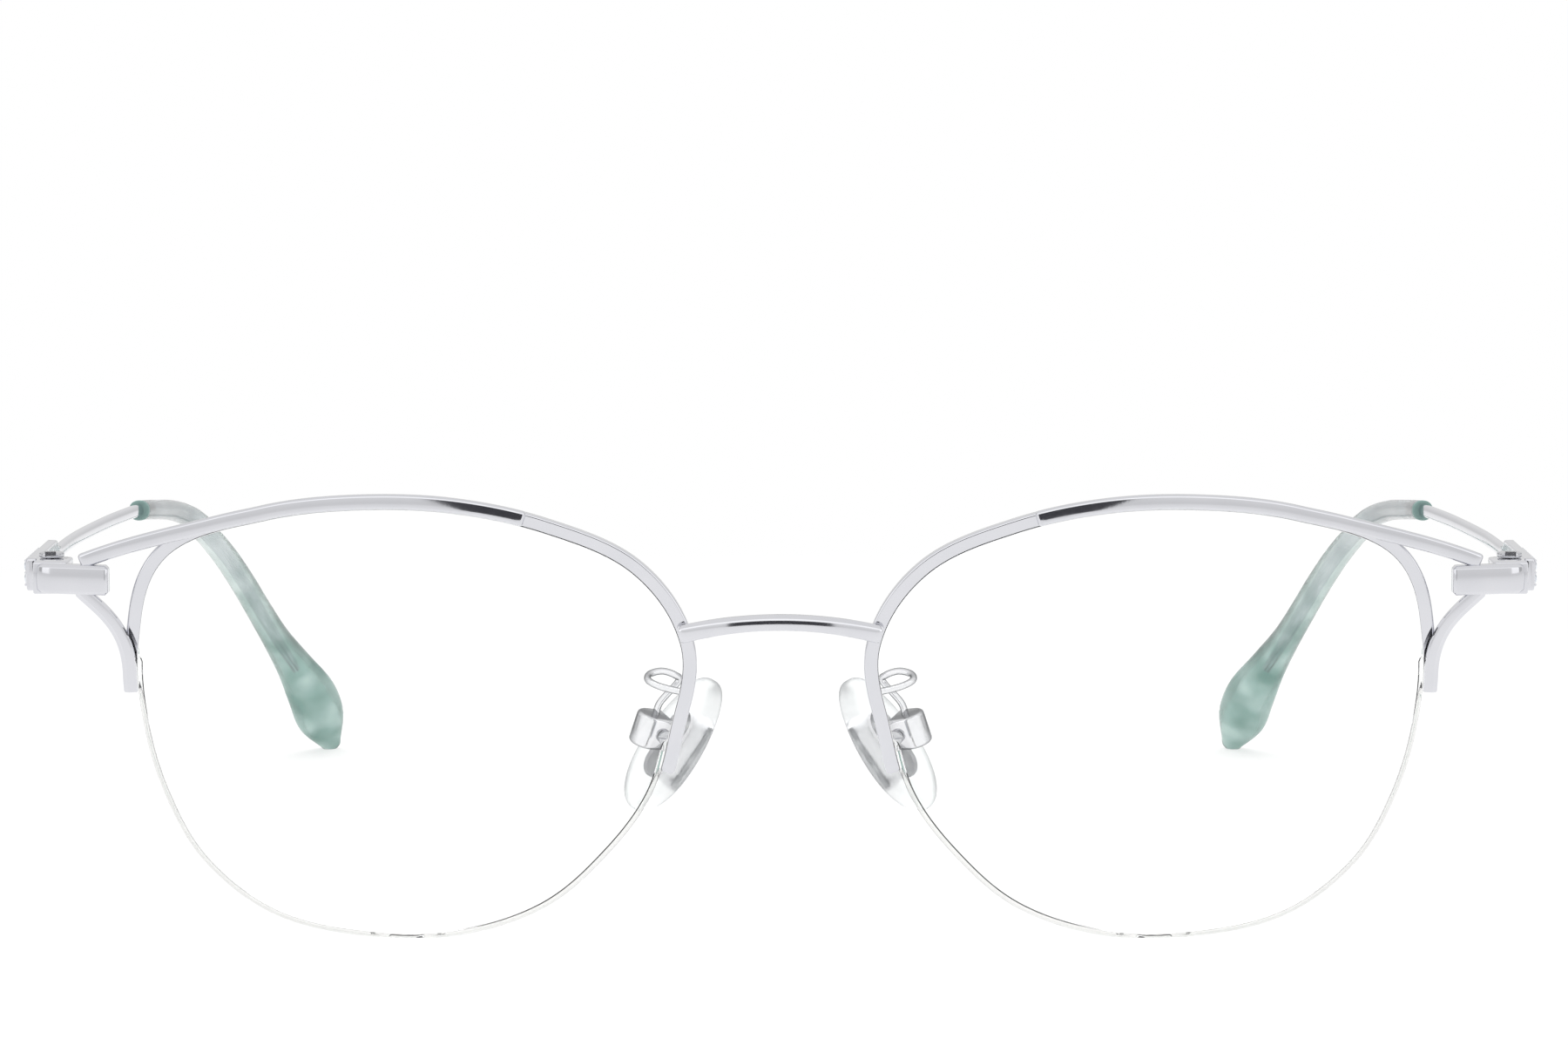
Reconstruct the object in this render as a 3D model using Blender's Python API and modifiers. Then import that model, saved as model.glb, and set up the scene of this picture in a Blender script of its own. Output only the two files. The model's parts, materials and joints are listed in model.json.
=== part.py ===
"""Semi-rimless eyeglasses, standing on their lenses and on the tips of their temples.

Metres, +X towards the wearer's left, +Y towards the wearer's ears, +Z up. The origin is on
the surface that the glasses stand on, under the middle of their bounding box. Every piece of
the right side is modelled first, at -X, and the left side is its mirror image. "Out" is away
from the middle plane, and "back" is towards the ears.
"""

import math

import bmesh
import bpy
import numpy as np
from mathutils import Matrix, Vector

MM = 0.001

# The face form: how far each eye's front turns back at its outer side, how far its lower
# edge leans back, and the ball radius of the lens's front.
WRAP = math.radians(4.5)
LEAN = math.radians(7.0)
LENS_CURVE = 130 * MM

# The lens: the boxed width and height, the gap between the lenses, and the edge.
LENS_WIDTH = 51.2 * MM
LENS_HEIGHT = 41.9 * MM
LENS_GAP = 18.8 * MM
LENS_THICKNESS = 2.2 * MM
LENS_GROOVE_WIDTH = 0.7 * MM
LENS_GROOVE_DEPTH = 0.8 * MM
LENS_CHAMFER = 0.2 * MM
# The distance from the lens's middle to its edge, as shares of the half width and half
# height, every 20 degrees from the outer side over the top.
LENS_EDGE_SHARES = (0.998, 1.073, 1.172, 1.067, 1.005, 0.998, 1.034, 1.090, 1.065,
                    0.965, 0.945, 0.934, 0.964, 0.987, 1.013, 1.039, 1.017, 0.983)
LENS_RING_SHARES = (0.4, 0.75)
RIM_STEPS = 32
CORD_STEPS = 24

# The rim: a grooved wire over the top of the lens. Heights are from the lens's middle.
RIM_WIDTH = 1.35 * MM
RIM_DEPTH = 2.0 * MM
RIM_GROOVE_WIDTH = 0.7 * MM
RIM_GROOVE_DEPTH = 0.55 * MM
RIM_CHAMFER = 0.3 * MM
RIM_OUTER_END = 2.85 * MM
RIM_NOSE_END = -4.4 * MM
LENS_SEAT_GAP = 0.1 * MM

# The strip between the rim's groove and the lens's groove, and the cord below.
LINER_THICKNESS = 0.45 * MM
LINER_FIT = 0.08 * MM
LINER_SHORT_STEPS = 3
CORD_DIAMETER = 0.5 * MM
CORD_FIT = 0.08 * MM
CORD_IN_RIM = 0.28 * MM
CORD_ENTRY_STEPS = 2

# What is soldered keeps a hair of room, so that each piece stays its own solid.
SOLDER_GAP = 0.04 * MM

# The brow bar in front of the rim's top, from near the nose out to the end piece.
BROW_WIDTH = 1.55 * MM
BROW_DEPTH = 1.1 * MM
BROW_CHAMFER = 0.22 * MM
BROW_NOSE_ANGLE = math.radians(115)
BROW_BRANCH_ANGLE = math.radians(52)
BROW_STEPS = 14
BROW_BRANCH_STEPS = 8
BROW_PULL = 5.0 * MM
BROW_DROP = math.radians(22)
BROW_REACH = 2.8 * MM
BROW_END_RISE = 0.25 * MM

# The lower arm, from under the end piece to the rim's outer end.
ARM_WIDTH = 1.2 * MM
ARM_DEPTH = 1.0 * MM
ARM_CHAMFER = 0.2 * MM
ARM_OUTSET = 0.3 * MM
ARM_BRANCH_RISE = 3.9 * MM
ARM_PULL = 2.4 * MM
ARM_DROP = math.radians(45)
ARM_REACH = 2.5 * MM
ARM_END_RISE = 0.35 * MM
ARM_STEPS = 8
ARM_RIM_STEPS = 3

# The end piece: a thick bevelled plate that turns the corner to the temple.
BLOCK_GAP = 2.95 * MM
BLOCK_RISE = 13.5 * MM
BLOCK_LENGTH = 8.5 * MM
BLOCK_HEIGHT = 2.8 * MM
BLOCK_THICKNESS = 1.9 * MM
BLOCK_PROUD = 0.5 * MM
BLOCK_CORNER = 1.7 * MM
BLOCK_BEVEL = 0.35 * MM
BLOCK_BEVEL_STEPS = 1
BLOCK_STEPS = 4
BLOCK_CORNER_STEPS = 4

# The hinge: its axis behind the end piece, two knuckles on the front and one on the temple.
HINGE_BACK = 2.65 * MM
HINGE_IN = 2.32 * MM
HINGE_LENGTH = 4.2 * MM
HINGE_WIDTH = 3.2 * MM
HINGE_RISE = 0.12 * MM
HINGE_CORNER = 0.6 * MM
HINGE_BEVEL = 0.15 * MM
KNUCKLE_RADIUS = 1.25 * MM
KNUCKLE_HEIGHT = 1.3 * MM
KNUCKLE_PLAY = 0.05 * MM
LEAF_THICKNESS = 0.85 * MM
LEAF_LENGTH = 6.0 * MM
LEAF_FILLET = 1.4 * MM
SCREW_RADIUS = 0.6 * MM
SCREW_PLAY = 0.05 * MM
SCREW_HEAD_RADIUS = 1.2 * MM
SCREW_HEAD_HEIGHT = 0.5 * MM
SCREW_SLOT_WIDTH = 0.4 * MM
SCREW_SLOT_DEPTH = 0.25 * MM
SCREW_BEVEL = 0.1 * MM
ROUND_SIDES = 16

# The temple, from its front plate to the core in its tip. Each station's place is a share:
# of the reach behind the hinge, of the tip's inset, and of the hinge's height.
TEMPLE_REACH = 129 * MM
TIP_INSET = 16.85 * MM
PLATE_OUT = 1.82 * MM
TEMPLE_BACK_SHARES = (-0.008, 0.05, 0.10, 0.132, 0.165, 0.27, 0.39, 0.46, 0.512, 0.575, 0.645,
                      0.695, 0.73, 0.765, 0.80, 0.83, 0.865, 0.90, 0.93, 0.96, 0.985)
TEMPLE_IN_SHARES = (0.0, -0.012, -0.023, -0.029, -0.030, -0.026, 0.029, 0.084, 0.130, 0.180, 0.241,
                    0.317, 0.398, 0.497, 0.590, 0.666, 0.755, 0.858, 0.955, 0.999, 1.042)
TEMPLE_HEIGHT_SHARES = (1.0, 1.0, 1.0, 1.0, 1.0, 1.0, 1.0, 1.0, 0.997, 0.978, 0.950,
                        0.908, 0.844, 0.754, 0.649, 0.553, 0.443, 0.332, 0.221, 0.119, 0.034)
PLATE_HEIGHT = 3.1 * MM
PLATE_THICKNESS = 1.0 * MM
PLATE_STATIONS = 3
WIRE_HEIGHT = 1.4 * MM
WIRE_THICKNESS = 1.0 * MM
SLEEVE_STATION = 8
CORE_END_STATION = 17
SECTION_POINTS = 12
PLATE_SQUARENESS = 8
WIRE_SQUARENESS = 3.5
OPEN_STOP_GAP = 0.05 * MM

# The tip: a sleeve that grows into a paddle. The shares are of its full width and thickness.
TIP_WIDTH = 6.2 * MM
TIP_THICKNESS = 3.3 * MM
TIP_WIDTH_SHARES = (0.34, 0.345, 0.36, 0.39, 0.42, 0.45, 0.465, 0.48, 0.53, 0.76, 0.94, 0.94, 0.52)
TIP_THICKNESS_SHARES = (0.64, 0.65, 0.68, 0.72, 0.76, 0.79, 0.82, 0.85, 0.88, 0.94, 1.0, 0.97, 0.78)
TIP_END_SHARES = ((0.6, 0.75), (1.0, 0.4))
TIP_END_LENGTH = 1.2 * MM
TIP_SQUARENESS = 2.2
TIP_FIT = 0.06 * MM
TIP_TWIST = math.radians(25)

# The strip of small stones on the plate's outer face.
TRIM_LENGTH = 11.5 * MM
TRIM_HEIGHT = 2.5 * MM
TRIM_THICKNESS = 0.2 * MM
TRIM_START = 1.6 * MM
STONE_PITCH = 1.28 * MM
STONE_ROWS = 2
STONE_EDGE = 0.3 * MM
STONE_HEIGHT = 0.2 * MM

# The bridge: an arched bar in front of the rims' nose sides.
BRIDGE_HEIGHT = 1.7 * MM
BRIDGE_DEPTH = 1.4 * MM
BRIDGE_CHAMFER = 0.35 * MM
BRIDGE_END_RISE = 8.8 * MM
BRIDGE_RISE = 1.3 * MM
BRIDGE_OVERLAP = 1.2 * MM
BRIDGE_BOW = 0.7 * MM
BRIDGE_STEPS = 12

# The nose pads: where each pad's screw crosses its box, and how the pad faces the nose.
PAD_BESIDE = 2.55 * MM
PAD_BACK = 7.6 * MM
PAD_BELOW = 1.05 * MM
PAD_SPLAY = math.radians(36)
PAD_CANT = math.radians(33)
BOX_CANT = math.radians(15)
BOX_OUT = 2.4 * MM
BOX_NOSE = 0.8 * MM
BOX_DEPTH = 3.0 * MM
BOX_HEIGHT = 3.2 * MM
BOX_END_STEPS = 6
BOX_WALL = 0.8 * MM
BOX_END_WALL = 0.4 * MM
BOX_BEVEL = 0.35 * MM
BOX_BEVEL_STEPS = 1
TONGUE_PLAY = 0.1 * MM
TONGUE_HEIGHT = 1.3 * MM
TONGUE_BACK = 0.8 * MM
PAD_SCREW_RADIUS = 0.4 * MM
PAD_SCREW_HEAD_RADIUS = 0.7 * MM
PAD_SCREW_HEAD_HEIGHT = 0.4 * MM
PAD_SCREW_SLOT_WIDTH = 0.25 * MM
PAD_SCREW_SLOT_DEPTH = 0.15 * MM
PAD_SCREW_SIDES = 12
INSERT_OUT = 2.5 * MM
INSERT_THICKNESS = 0.5 * MM
INSERT_WIDTH = 5.0 * MM
INSERT_LENGTH = 7.2 * MM
INSERT_FIT = 0.06 * MM
PAD_START = 1.85 * MM
PAD_THICKNESS = 2.4 * MM
PAD_WIDTH = 7.6 * MM
PAD_LENGTH = 14.4 * MM
PAD_DROP = 0.55 * MM
PAD_TAPER_SHARE = 0.12
PAD_EDGE = 0.8 * MM
PAD_ROUND_SHARE = 0.35
PAD_SIDES = 20

# The pad's arm: a wire that leaves the rim's back, turns round a loop and drops to the box.
# The loop's places are shares of its width, of the way back to the box, and of its rise.
PAD_WIRE_RADIUS = 0.45 * MM
PAD_WIRE_FOOT = 3.25 * MM
PAD_LOOP_WIDTH = 3.95 * MM
PAD_LOOP_RISE = 1.4 * MM
PAD_LOOP_OUT_SHARES = (0.07, 0.36, 0.76, 1.0, 0.95, 0.71, 0.54)
PAD_LOOP_BACK_SHARES = (0.12, 0.17, 0.24, 0.41, 0.65, 0.82, 0.93)
PAD_LOOP_UP_SHARES = (0.05, 0.35, 0.75, 0.95, 1.0, 0.95, 0.55)
PAD_WIRE_POST = 1.3 * MM
PAD_WIRE_SEAT = 0.55 * MM
PAD_WIRE_STEPS = 2

# The flats that the glasses stand on, and what a cut takes beyond the piece it cuts.
FOOT_CUT = 0.15 * MM
CUT_OVERRUN = 1.0 * MM
WELD = 0.001 * MM

# Places that follow from the sizes above.
LENS_IN = (LENS_GAP + LENS_WIDTH) / 2
LENS_UP = LENS_HEIGHT / 2
BLOCK_IN_END = LENS_IN + LENS_WIDTH / 2 + BLOCK_GAP
BLOCK_OUT_END = BLOCK_IN_END + BLOCK_LENGTH
BLOCK_MIDDLE_HEIGHT = LENS_UP + BLOCK_RISE
HINGE_X = BLOCK_OUT_END - HINGE_IN
PLATE_X = HINGE_X + PLATE_OUT
PAD_OUT = LENS_GAP / 2 + PAD_BESIDE
PAD_HEIGHT = LENS_UP - PAD_BELOW


def spot(out, back, up):
    """A point of the right side, from its distance out, back and up."""
    return Vector((-out, back, up))


def face_back(out, up):
    """How far back the front's surface lies, at a distance out and a height."""
    u, w = abs(out) - LENS_IN, up - LENS_UP
    return math.tan(WRAP) * u + (u * u + w * w) / (2 * LENS_CURVE) - math.tan(LEAN) * w


HINGE_Y = face_back(BLOCK_OUT_END, BLOCK_MIDDLE_HEIGHT) + HINGE_BACK


def material(name, colour, rough, metal, alpha=1.0):
    made = bpy.data.materials.new(name)
    made.use_nodes = True
    shader = made.node_tree.nodes["Principled BSDF"]
    shader.inputs["Base Color"].default_value = (*colour, 1.0)
    shader.inputs["Roughness"].default_value = rough
    shader.inputs["Metallic"].default_value = metal
    shader.inputs["Alpha"].default_value = alpha
    made.diffuse_color = (*colour, alpha)
    return made


def clear_scene():
    for old in list(bpy.data.objects):
        bpy.data.objects.remove(old, do_unlink=True)


def new_collection(name):
    made = bpy.data.collections.new(name)
    bpy.context.scene.collection.children.link(made)
    return made


clear_scene()
PARTS = new_collection("semi_rimless_eyeglasses")
CUTTERS = new_collection("cutters")

METAL = ((0.86, 0.86, 0.88), 0.12, 1.0)
STEEL = ((0.72, 0.73, 0.75), 0.25, 1.0)
CLEAR = ((0.96, 0.98, 0.98), 0.05, 0.0)
SILICONE = ((0.92, 0.94, 0.94), 0.25, 0.0)
NYLON = ((0.93, 0.92, 0.87), 0.3, 0.0)
TEAL = ((0.30, 0.49, 0.45), 0.25, 0.0)
STONE = ((0.90, 0.92, 0.95), 0.05, 0.0)


def link(mesh_object, collection):
    for owner in list(mesh_object.users_collection):
        owner.objects.unlink(mesh_object)
    collection.objects.link(mesh_object)
    return mesh_object


def mesh_object(name, bm, collection=None):
    """Put a bmesh into a new object."""
    mesh = bpy.data.meshes.new(name)
    bm.to_mesh(mesh)
    bm.free()
    made = bpy.data.objects.new(name, mesh)
    return link(made, collection or PARTS)


def cutter(name, bm):
    made = mesh_object(name, bm, CUTTERS)
    made.hide_render = True
    made.display_type = "WIRE"
    return made


def baked(source):
    """Replace an object by the mesh that its curve or modifiers make."""
    depsgraph = bpy.context.evaluated_depsgraph_get()
    mesh = bpy.data.meshes.new_from_object(source.evaluated_get(depsgraph))
    bm = bmesh.new()
    bm.from_mesh(mesh)
    bpy.data.meshes.remove(mesh)
    bmesh.ops.remove_doubles(bm, verts=bm.verts, dist=WELD)
    bm.transform(source.matrix_world)
    name = source.name
    bpy.data.objects.remove(source, do_unlink=True)
    return mesh_object(name, bm)


def boolean(target, other, operation="DIFFERENCE"):
    change = target.modifiers.new(operation.lower(), "BOOLEAN")
    change.operation = operation
    change.object = other
    change.solver = "EXACT"
    return target


def box(low, high):
    """A box between two corners, as a bmesh."""
    bm = bmesh.new()
    bmesh.ops.create_cube(bm, size=1.0)
    size = [b - a for a, b in zip(low, high)]
    centre = [(a + b) / 2 for a, b in zip(low, high)]
    bmesh.ops.scale(bm, vec=size, verts=bm.verts)
    bmesh.ops.translate(bm, vec=centre, verts=bm.verts)
    return bm


def cylinder(radius, low, high, centre=(0.0, 0.0), sides=ROUND_SIDES):
    """An upright cylinder, as a bmesh."""
    bm = bmesh.new()
    bmesh.ops.create_cone(bm, cap_ends=True, segments=sides, radius1=radius, radius2=radius,
                          depth=high - low)
    bmesh.ops.translate(bm, vec=(centre[0], centre[1], (low + high) / 2), verts=bm.verts)
    return bm


def loft(name, rings, collection=None):
    """Skin a row of closed rings of equal count and close both ends with a face."""
    bm = bmesh.new()
    rows = [[bm.verts.new(point) for point in ring] for ring in rings]
    count = len(rows[0])
    for one, two in zip(rows, rows[1:]):
        for i in range(count):
            j = (i + 1) % count
            bm.faces.new((one[i], one[j], two[j], two[i]))
    bm.faces.new(list(reversed(rows[0])))
    bm.faces.new(rows[-1])
    bmesh.ops.recalc_face_normals(bm, faces=bm.faces)
    return mesh_object(name, bm, collection)


def smooth_at(values, place):
    """A smooth value between evenly spaced ones, at a place counted in steps."""
    last = len(values) - 1
    i = min(int(place), last - 1)
    f = place - i
    p = [values[min(max(i + k, 0), last)] for k in (-1, 0, 1, 2)]
    return 0.5 * (2 * p[1] + (p[2] - p[0]) * f + (2 * p[0] - 5 * p[1] + 4 * p[2] - p[3]) * f * f
                  + (3 * p[1] - p[0] - 3 * p[2] + p[3]) * f ** 3)


def bezier(start, pull_start, pull_end, end, steps):
    """Points along a Bezier curve, both ends included."""
    out = []
    for k in range(steps + 1):
        t = k / steps
        s = 1 - t
        out.append(start * s ** 3 + pull_start * 3 * s * s * t + pull_end * 3 * s * t * t + end * t ** 3)
    return out


# The lens's edge, as a closed smooth line in the plane of the face.

def edge_radius(angle):
    shares = LENS_EDGE_SHARES
    count = len(shares)
    place = (angle % math.tau) / math.tau * count
    i = int(place)
    around = [shares[(i + k) % count] for k in (-1, 0, 1, 2)]
    return smooth_at(around, 1 + place - i)


def edge_point(angle):
    radius = edge_radius(angle)
    return Vector((LENS_IN + radius * math.cos(angle) * LENS_WIDTH / 2,
                   LENS_UP + radius * math.sin(angle) * LENS_HEIGHT / 2))


def edge_normal(angle):
    step = math.radians(0.5)
    along = edge_point(angle + step) - edge_point(angle - step)
    return Vector((along.y, -along.x)).normalized()


def angle_at_height(height, low, high):
    """The angle between two others at which the edge crosses a height."""
    rising = edge_point(high).y > edge_point(low).y
    for _ in range(40):
        middle = (low + high) / 2
        if (edge_point(middle).y < height) == rising:
            low = middle
        else:
            high = middle
    return (low + high) / 2


def even_angles(start, end, steps):
    """Angles from start to end that cut the edge between them into even lengths."""
    fine = np.linspace(start, end, 400)
    points = np.array([edge_point(a) for a in fine])
    run = np.concatenate([[0.0], np.cumsum(np.linalg.norm(np.diff(points, axis=0), axis=1))])
    return list(np.interp(np.linspace(0.0, run[-1], steps + 1), run, fine))


OUTER_ANGLE = angle_at_height(LENS_UP + RIM_OUTER_END, math.radians(-60), math.radians(30))
NOSE_ANGLE = angle_at_height(LENS_UP + RIM_NOSE_END, math.radians(150), math.radians(240))
RIM_ANGLES = even_angles(OUTER_ANGLE, NOSE_ANGLE, RIM_STEPS)
CORD_ANGLES = even_angles(NOSE_ANGLE, OUTER_ANGLE + math.tau, CORD_STEPS)
LENS_ANGLES = RIM_ANGLES[:-1] + CORD_ANGLES[:-1]


def off_edge(angle, offset):
    """A point on a line that runs outside the lens's edge by an offset."""
    return edge_point(angle) + edge_normal(angle) * offset


def swept(name, path, profile):
    """A bar with one section along a flat path of (out, up) points.

    The profile's points are (across the path, back), and across is positive away from the
    lens. The bar is then laid on the face's curved surface.
    """
    rings = []
    for i, point in enumerate(path):
        before, after = path[max(i - 1, 0)], path[min(i + 1, len(path) - 1)]
        along = (after - before).normalized()
        across = Vector((along.y, -along.x))
        ring = []
        for offset, back in profile:
            place = point + across * offset
            ring.append(spot(place.x, back + face_back(place.x, place.y), place.y))
        rings.append(ring)
    return loft(name, rings)


def chamfered(low, high, front, back, chamfer):
    """A rectangle with cut corners, as (across, back) points."""
    return [(low + chamfer, front), (high - chamfer, front), (high, front + chamfer),
            (high, back - chamfer), (high - chamfer, back), (low + chamfer, back),
            (low, back - chamfer), (low, front + chamfer)]


def make_lens(name):
    """A curved clear disc with a groove round its edge and a small flat where it stands."""
    middle = LENS_THICKNESS / 2
    side = LENS_GROOVE_WIDTH / 2
    edge = [(-LENS_CHAMFER, 0.0), (0.0, LENS_CHAMFER), (0.0, middle - side),
            (-LENS_GROOVE_DEPTH, middle - side), (-LENS_GROOVE_DEPTH, middle + side),
            (0.0, middle + side), (0.0, LENS_THICKNESS - LENS_CHAMFER), (-LENS_CHAMFER, LENS_THICKNESS)]
    centre = Vector((LENS_IN, LENS_UP))
    bm = bmesh.new()

    def ring(offset, back, share=1.0):
        row = []
        for angle in LENS_ANGLES:
            place = centre + (off_edge(angle, offset) - centre) * share
            row.append(bm.verts.new(spot(place.x, back + face_back(place.x, place.y), place.y)))
        return row

    rows = [ring(-LENS_CHAMFER, 0.0, share) for share in LENS_RING_SHARES]
    rows += [ring(offset, back) for offset, back in edge]
    rows += [ring(-LENS_CHAMFER, LENS_THICKNESS, share) for share in reversed(LENS_RING_SHARES)]
    count = len(LENS_ANGLES)
    for one, two in zip(rows, rows[1:]):
        for i in range(count):
            j = (i + 1) % count
            bm.faces.new((one[i], one[j], two[j], two[i]))
    base = face_back(centre.x, centre.y)
    for row, back in ((rows[0], 0.0), (rows[-1], LENS_THICKNESS)):
        tip = bm.verts.new(spot(centre.x, base + back, centre.y))
        for i in range(count):
            bm.faces.new((row[i], row[(i + 1) % count], tip))
    bmesh.ops.recalc_face_normals(bm, faces=bm.faces)
    return boolean(mesh_object(name, bm), floor_cutter(name + "_foot_cut"))


def make_rim(name):
    """The upper rim: a wire with a groove on its inner side."""
    front = LENS_THICKNESS / 2 - RIM_DEPTH / 2
    back = front + RIM_DEPTH
    low, high = LENS_SEAT_GAP, LENS_SEAT_GAP + RIM_WIDTH
    side = RIM_GROOVE_WIDTH / 2
    floor = low + RIM_GROOVE_DEPTH
    middle = LENS_THICKNESS / 2
    profile = [(low, front), (high - RIM_CHAMFER, front), (high, front + RIM_CHAMFER),
               (high, back - RIM_CHAMFER), (high - RIM_CHAMFER, back), (low, back),
               (low, middle + side), (floor, middle + side), (floor, middle - side), (low, middle - side)]
    return swept(name, [edge_point(a) for a in RIM_ANGLES], profile)


def make_liner(name):
    """The strip that keys the lens's groove to the rim's groove."""
    middle = LENS_THICKNESS / 2
    low = LINER_FIT - LENS_GROOVE_DEPTH
    high = LENS_SEAT_GAP + RIM_GROOVE_DEPTH - LINER_FIT
    front, back = middle - LINER_THICKNESS / 2, middle + LINER_THICKNESS / 2
    profile = [(low, front), (high, front), (high, back), (low, back)]
    angles = RIM_ANGLES[LINER_SHORT_STEPS:-LINER_SHORT_STEPS]
    return swept(name, [edge_point(a) for a in angles], profile)


def make_cord(name):
    """The clear cord in the lens's groove, with both ends turned into the rim's groove."""
    entry = CORD_ENTRY_STEPS
    angles = RIM_ANGLES[-entry - 1:-1] + CORD_ANGLES + [a + math.tau for a in RIM_ANGLES[1:entry + 1]]
    half = CORD_DIAMETER / 2
    offsets = [half + CORD_FIT - LENS_GROOVE_DEPTH] * len(angles)
    offsets[0] = offsets[-1] = CORD_IN_RIM
    curve = bpy.data.curves.new(name, "CURVE")
    curve.dimensions = "3D"
    curve.bevel_depth = half
    curve.bevel_resolution = 1
    curve.use_fill_caps = True
    line = curve.splines.new("POLY")
    line.points.add(len(angles) - 1)
    for point, angle, offset in zip(line.points, angles, offsets):
        place = off_edge(angle, offset)
        back = LENS_THICKNESS / 2 + face_back(place.x, place.y)
        point.co = (*spot(place.x, back, place.y), 1.0)
    made = bpy.data.objects.new(name, curve)
    PARTS.objects.link(made)
    return baked(made)


# The end piece's outline, seen from above. It also gives the cut in what meets it.

FRONT_OF_BROW = LENS_THICKNESS / 2 - RIM_DEPTH / 2 - SOLDER_GAP - BROW_DEPTH
BLOCK_LOW = BLOCK_MIDDLE_HEIGHT - BLOCK_HEIGHT / 2
BLOCK_HIGH = BLOCK_LOW + BLOCK_HEIGHT
BLOCK_REAR = HINGE_Y + TEMPLE_BACK_SHARES[0] * TEMPLE_REACH - OPEN_STOP_GAP


def grown(outline, gap):
    """A closed outline moved outwards by a gap."""
    count = len(outline)
    area = sum(outline[i - 1].cross(outline[i]) for i in range(count))
    turn = 1.0 if area > 0 else -1.0
    out = []
    for i, point in enumerate(outline):
        one = (point - outline[i - 1]).normalized()
        two = (outline[(i + 1) % count] - point).normalized()
        normal = Vector((one.y + two.y, -one.x - two.x)).normalized() * turn
        lean = max(normal.dot(Vector((one.y, -one.x)) * turn), 0.3)
        out.append(point + normal * gap / lean)
    return out


def block_outline():
    """Along the front, round the outer corner, to the rear end, and back along the inside."""
    height = BLOCK_MIDDLE_HEIGHT
    front = FRONT_OF_BROW - BLOCK_PROUD
    corner_out = BLOCK_OUT_END - BLOCK_CORNER
    outs = [float(x) for x in np.linspace(BLOCK_IN_END, corner_out, BLOCK_STEPS + 1)]
    line = [Vector((x, front + face_back(x, height))) for x in outs]
    along = (line[-1] - line[-2]).normalized()
    turn = line[-1] + Vector((-along.y, along.x)) * BLOCK_CORNER
    first = math.atan2(-along.x, along.y)
    for k in range(1, BLOCK_CORNER_STEPS + 1):
        angle = first * (1 - k / BLOCK_CORNER_STEPS)
        line.append(turn + Vector((math.cos(angle), math.sin(angle))) * BLOCK_CORNER)
    inner = line[-1].x - PLATE_THICKNESS
    line.append(Vector((line[-1].x, BLOCK_REAR)))
    line.append(Vector((inner, BLOCK_REAR)))
    back = front + BLOCK_THICKNESS
    for x in [inner] + [x for x in reversed(outs) if x < inner]:
        line.append(Vector((x, back + face_back(x, height))))
    return line


def plate(name, outline, low, high, collection=None):
    """An upright slab with a flat (out, back) outline, between two heights."""
    curve = bpy.data.curves.new(name, "CURVE")
    curve.dimensions = "2D"
    curve.fill_mode = "BOTH"
    curve.extrude = (high - low) / 2
    line = curve.splines.new("POLY")
    line.points.add(len(outline) - 1)
    for point, place in zip(line.points, outline):
        point.co = (-place.x, place.y, 0.0, 1.0)
    line.use_cyclic_u = True
    made = bpy.data.objects.new(name, curve)
    made.location.z = (low + high) / 2
    PARTS.objects.link(made)
    made = baked(made)
    return link(made, collection or PARTS)


def block_cutter(name):
    made = plate(name, grown(block_outline(), SOLDER_GAP), BLOCK_LOW - SOLDER_GAP,
                 BLOCK_HIGH + SOLDER_GAP, CUTTERS)
    made.hide_render = True
    made.display_type = "WIRE"
    return made


def bevelled(made, width, segments=1, degrees=40):
    """Round an object's edges with a Bevel modifier."""
    change = made.modifiers.new("bevel", "BEVEL")
    change.width = width
    change.segments = segments
    change.limit_method = "ANGLE"
    change.angle_limit = math.radians(degrees)
    return made


def make_block(name):
    return bevelled(plate(name, block_outline(), BLOCK_LOW, BLOCK_HIGH), BLOCK_BEVEL, BLOCK_BEVEL_STEPS)


def brow_line():
    """The brow bar's middle line: from the nose end, along the lens, out to the end piece."""
    angles = even_angles(BROW_NOSE_ANGLE, BROW_BRANCH_ANGLE, BROW_STEPS)
    along = [off_edge(a, BROW_WIDTH / 2 + LENS_SEAT_GAP) for a in angles]
    heading = (along[-1] - along[-2]).normalized()
    end = Vector((BLOCK_IN_END + BROW_REACH, BLOCK_HIGH + BROW_END_RISE))
    drop = Vector((-math.cos(BROW_DROP), math.sin(BROW_DROP))) * BROW_PULL
    branch = bezier(along[-1], along[-1] + heading * BROW_PULL, end + drop, end, BROW_BRANCH_STEPS)
    return along + branch[1:]


def make_brow(name):
    profile = chamfered(-BROW_WIDTH / 2, BROW_WIDTH / 2, FRONT_OF_BROW, FRONT_OF_BROW + BROW_DEPTH,
                        BROW_CHAMFER)
    return boolean(swept(name, brow_line(), profile), block_cutter(name + "_cut"))


def arm_line():
    """The lower arm's middle line: down from the end piece, then along the rim's outer end."""
    join = angle_at_height(LENS_UP + RIM_OUTER_END + ARM_BRANCH_RISE, OUTER_ANGLE, math.radians(30))
    angles = even_angles(join, OUTER_ANGLE, ARM_RIM_STEPS)
    along = [off_edge(a, ARM_WIDTH / 2 + ARM_OUTSET) for a in angles]
    heading = (along[1] - along[0]).normalized()
    start = Vector((BLOCK_IN_END + ARM_REACH, BLOCK_LOW + ARM_END_RISE))
    down = Vector((-math.cos(ARM_DROP), -math.sin(ARM_DROP))) * ARM_PULL
    return bezier(start, start + down, along[0] - heading * ARM_PULL, along[0], ARM_STEPS) + along[1:]


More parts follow.
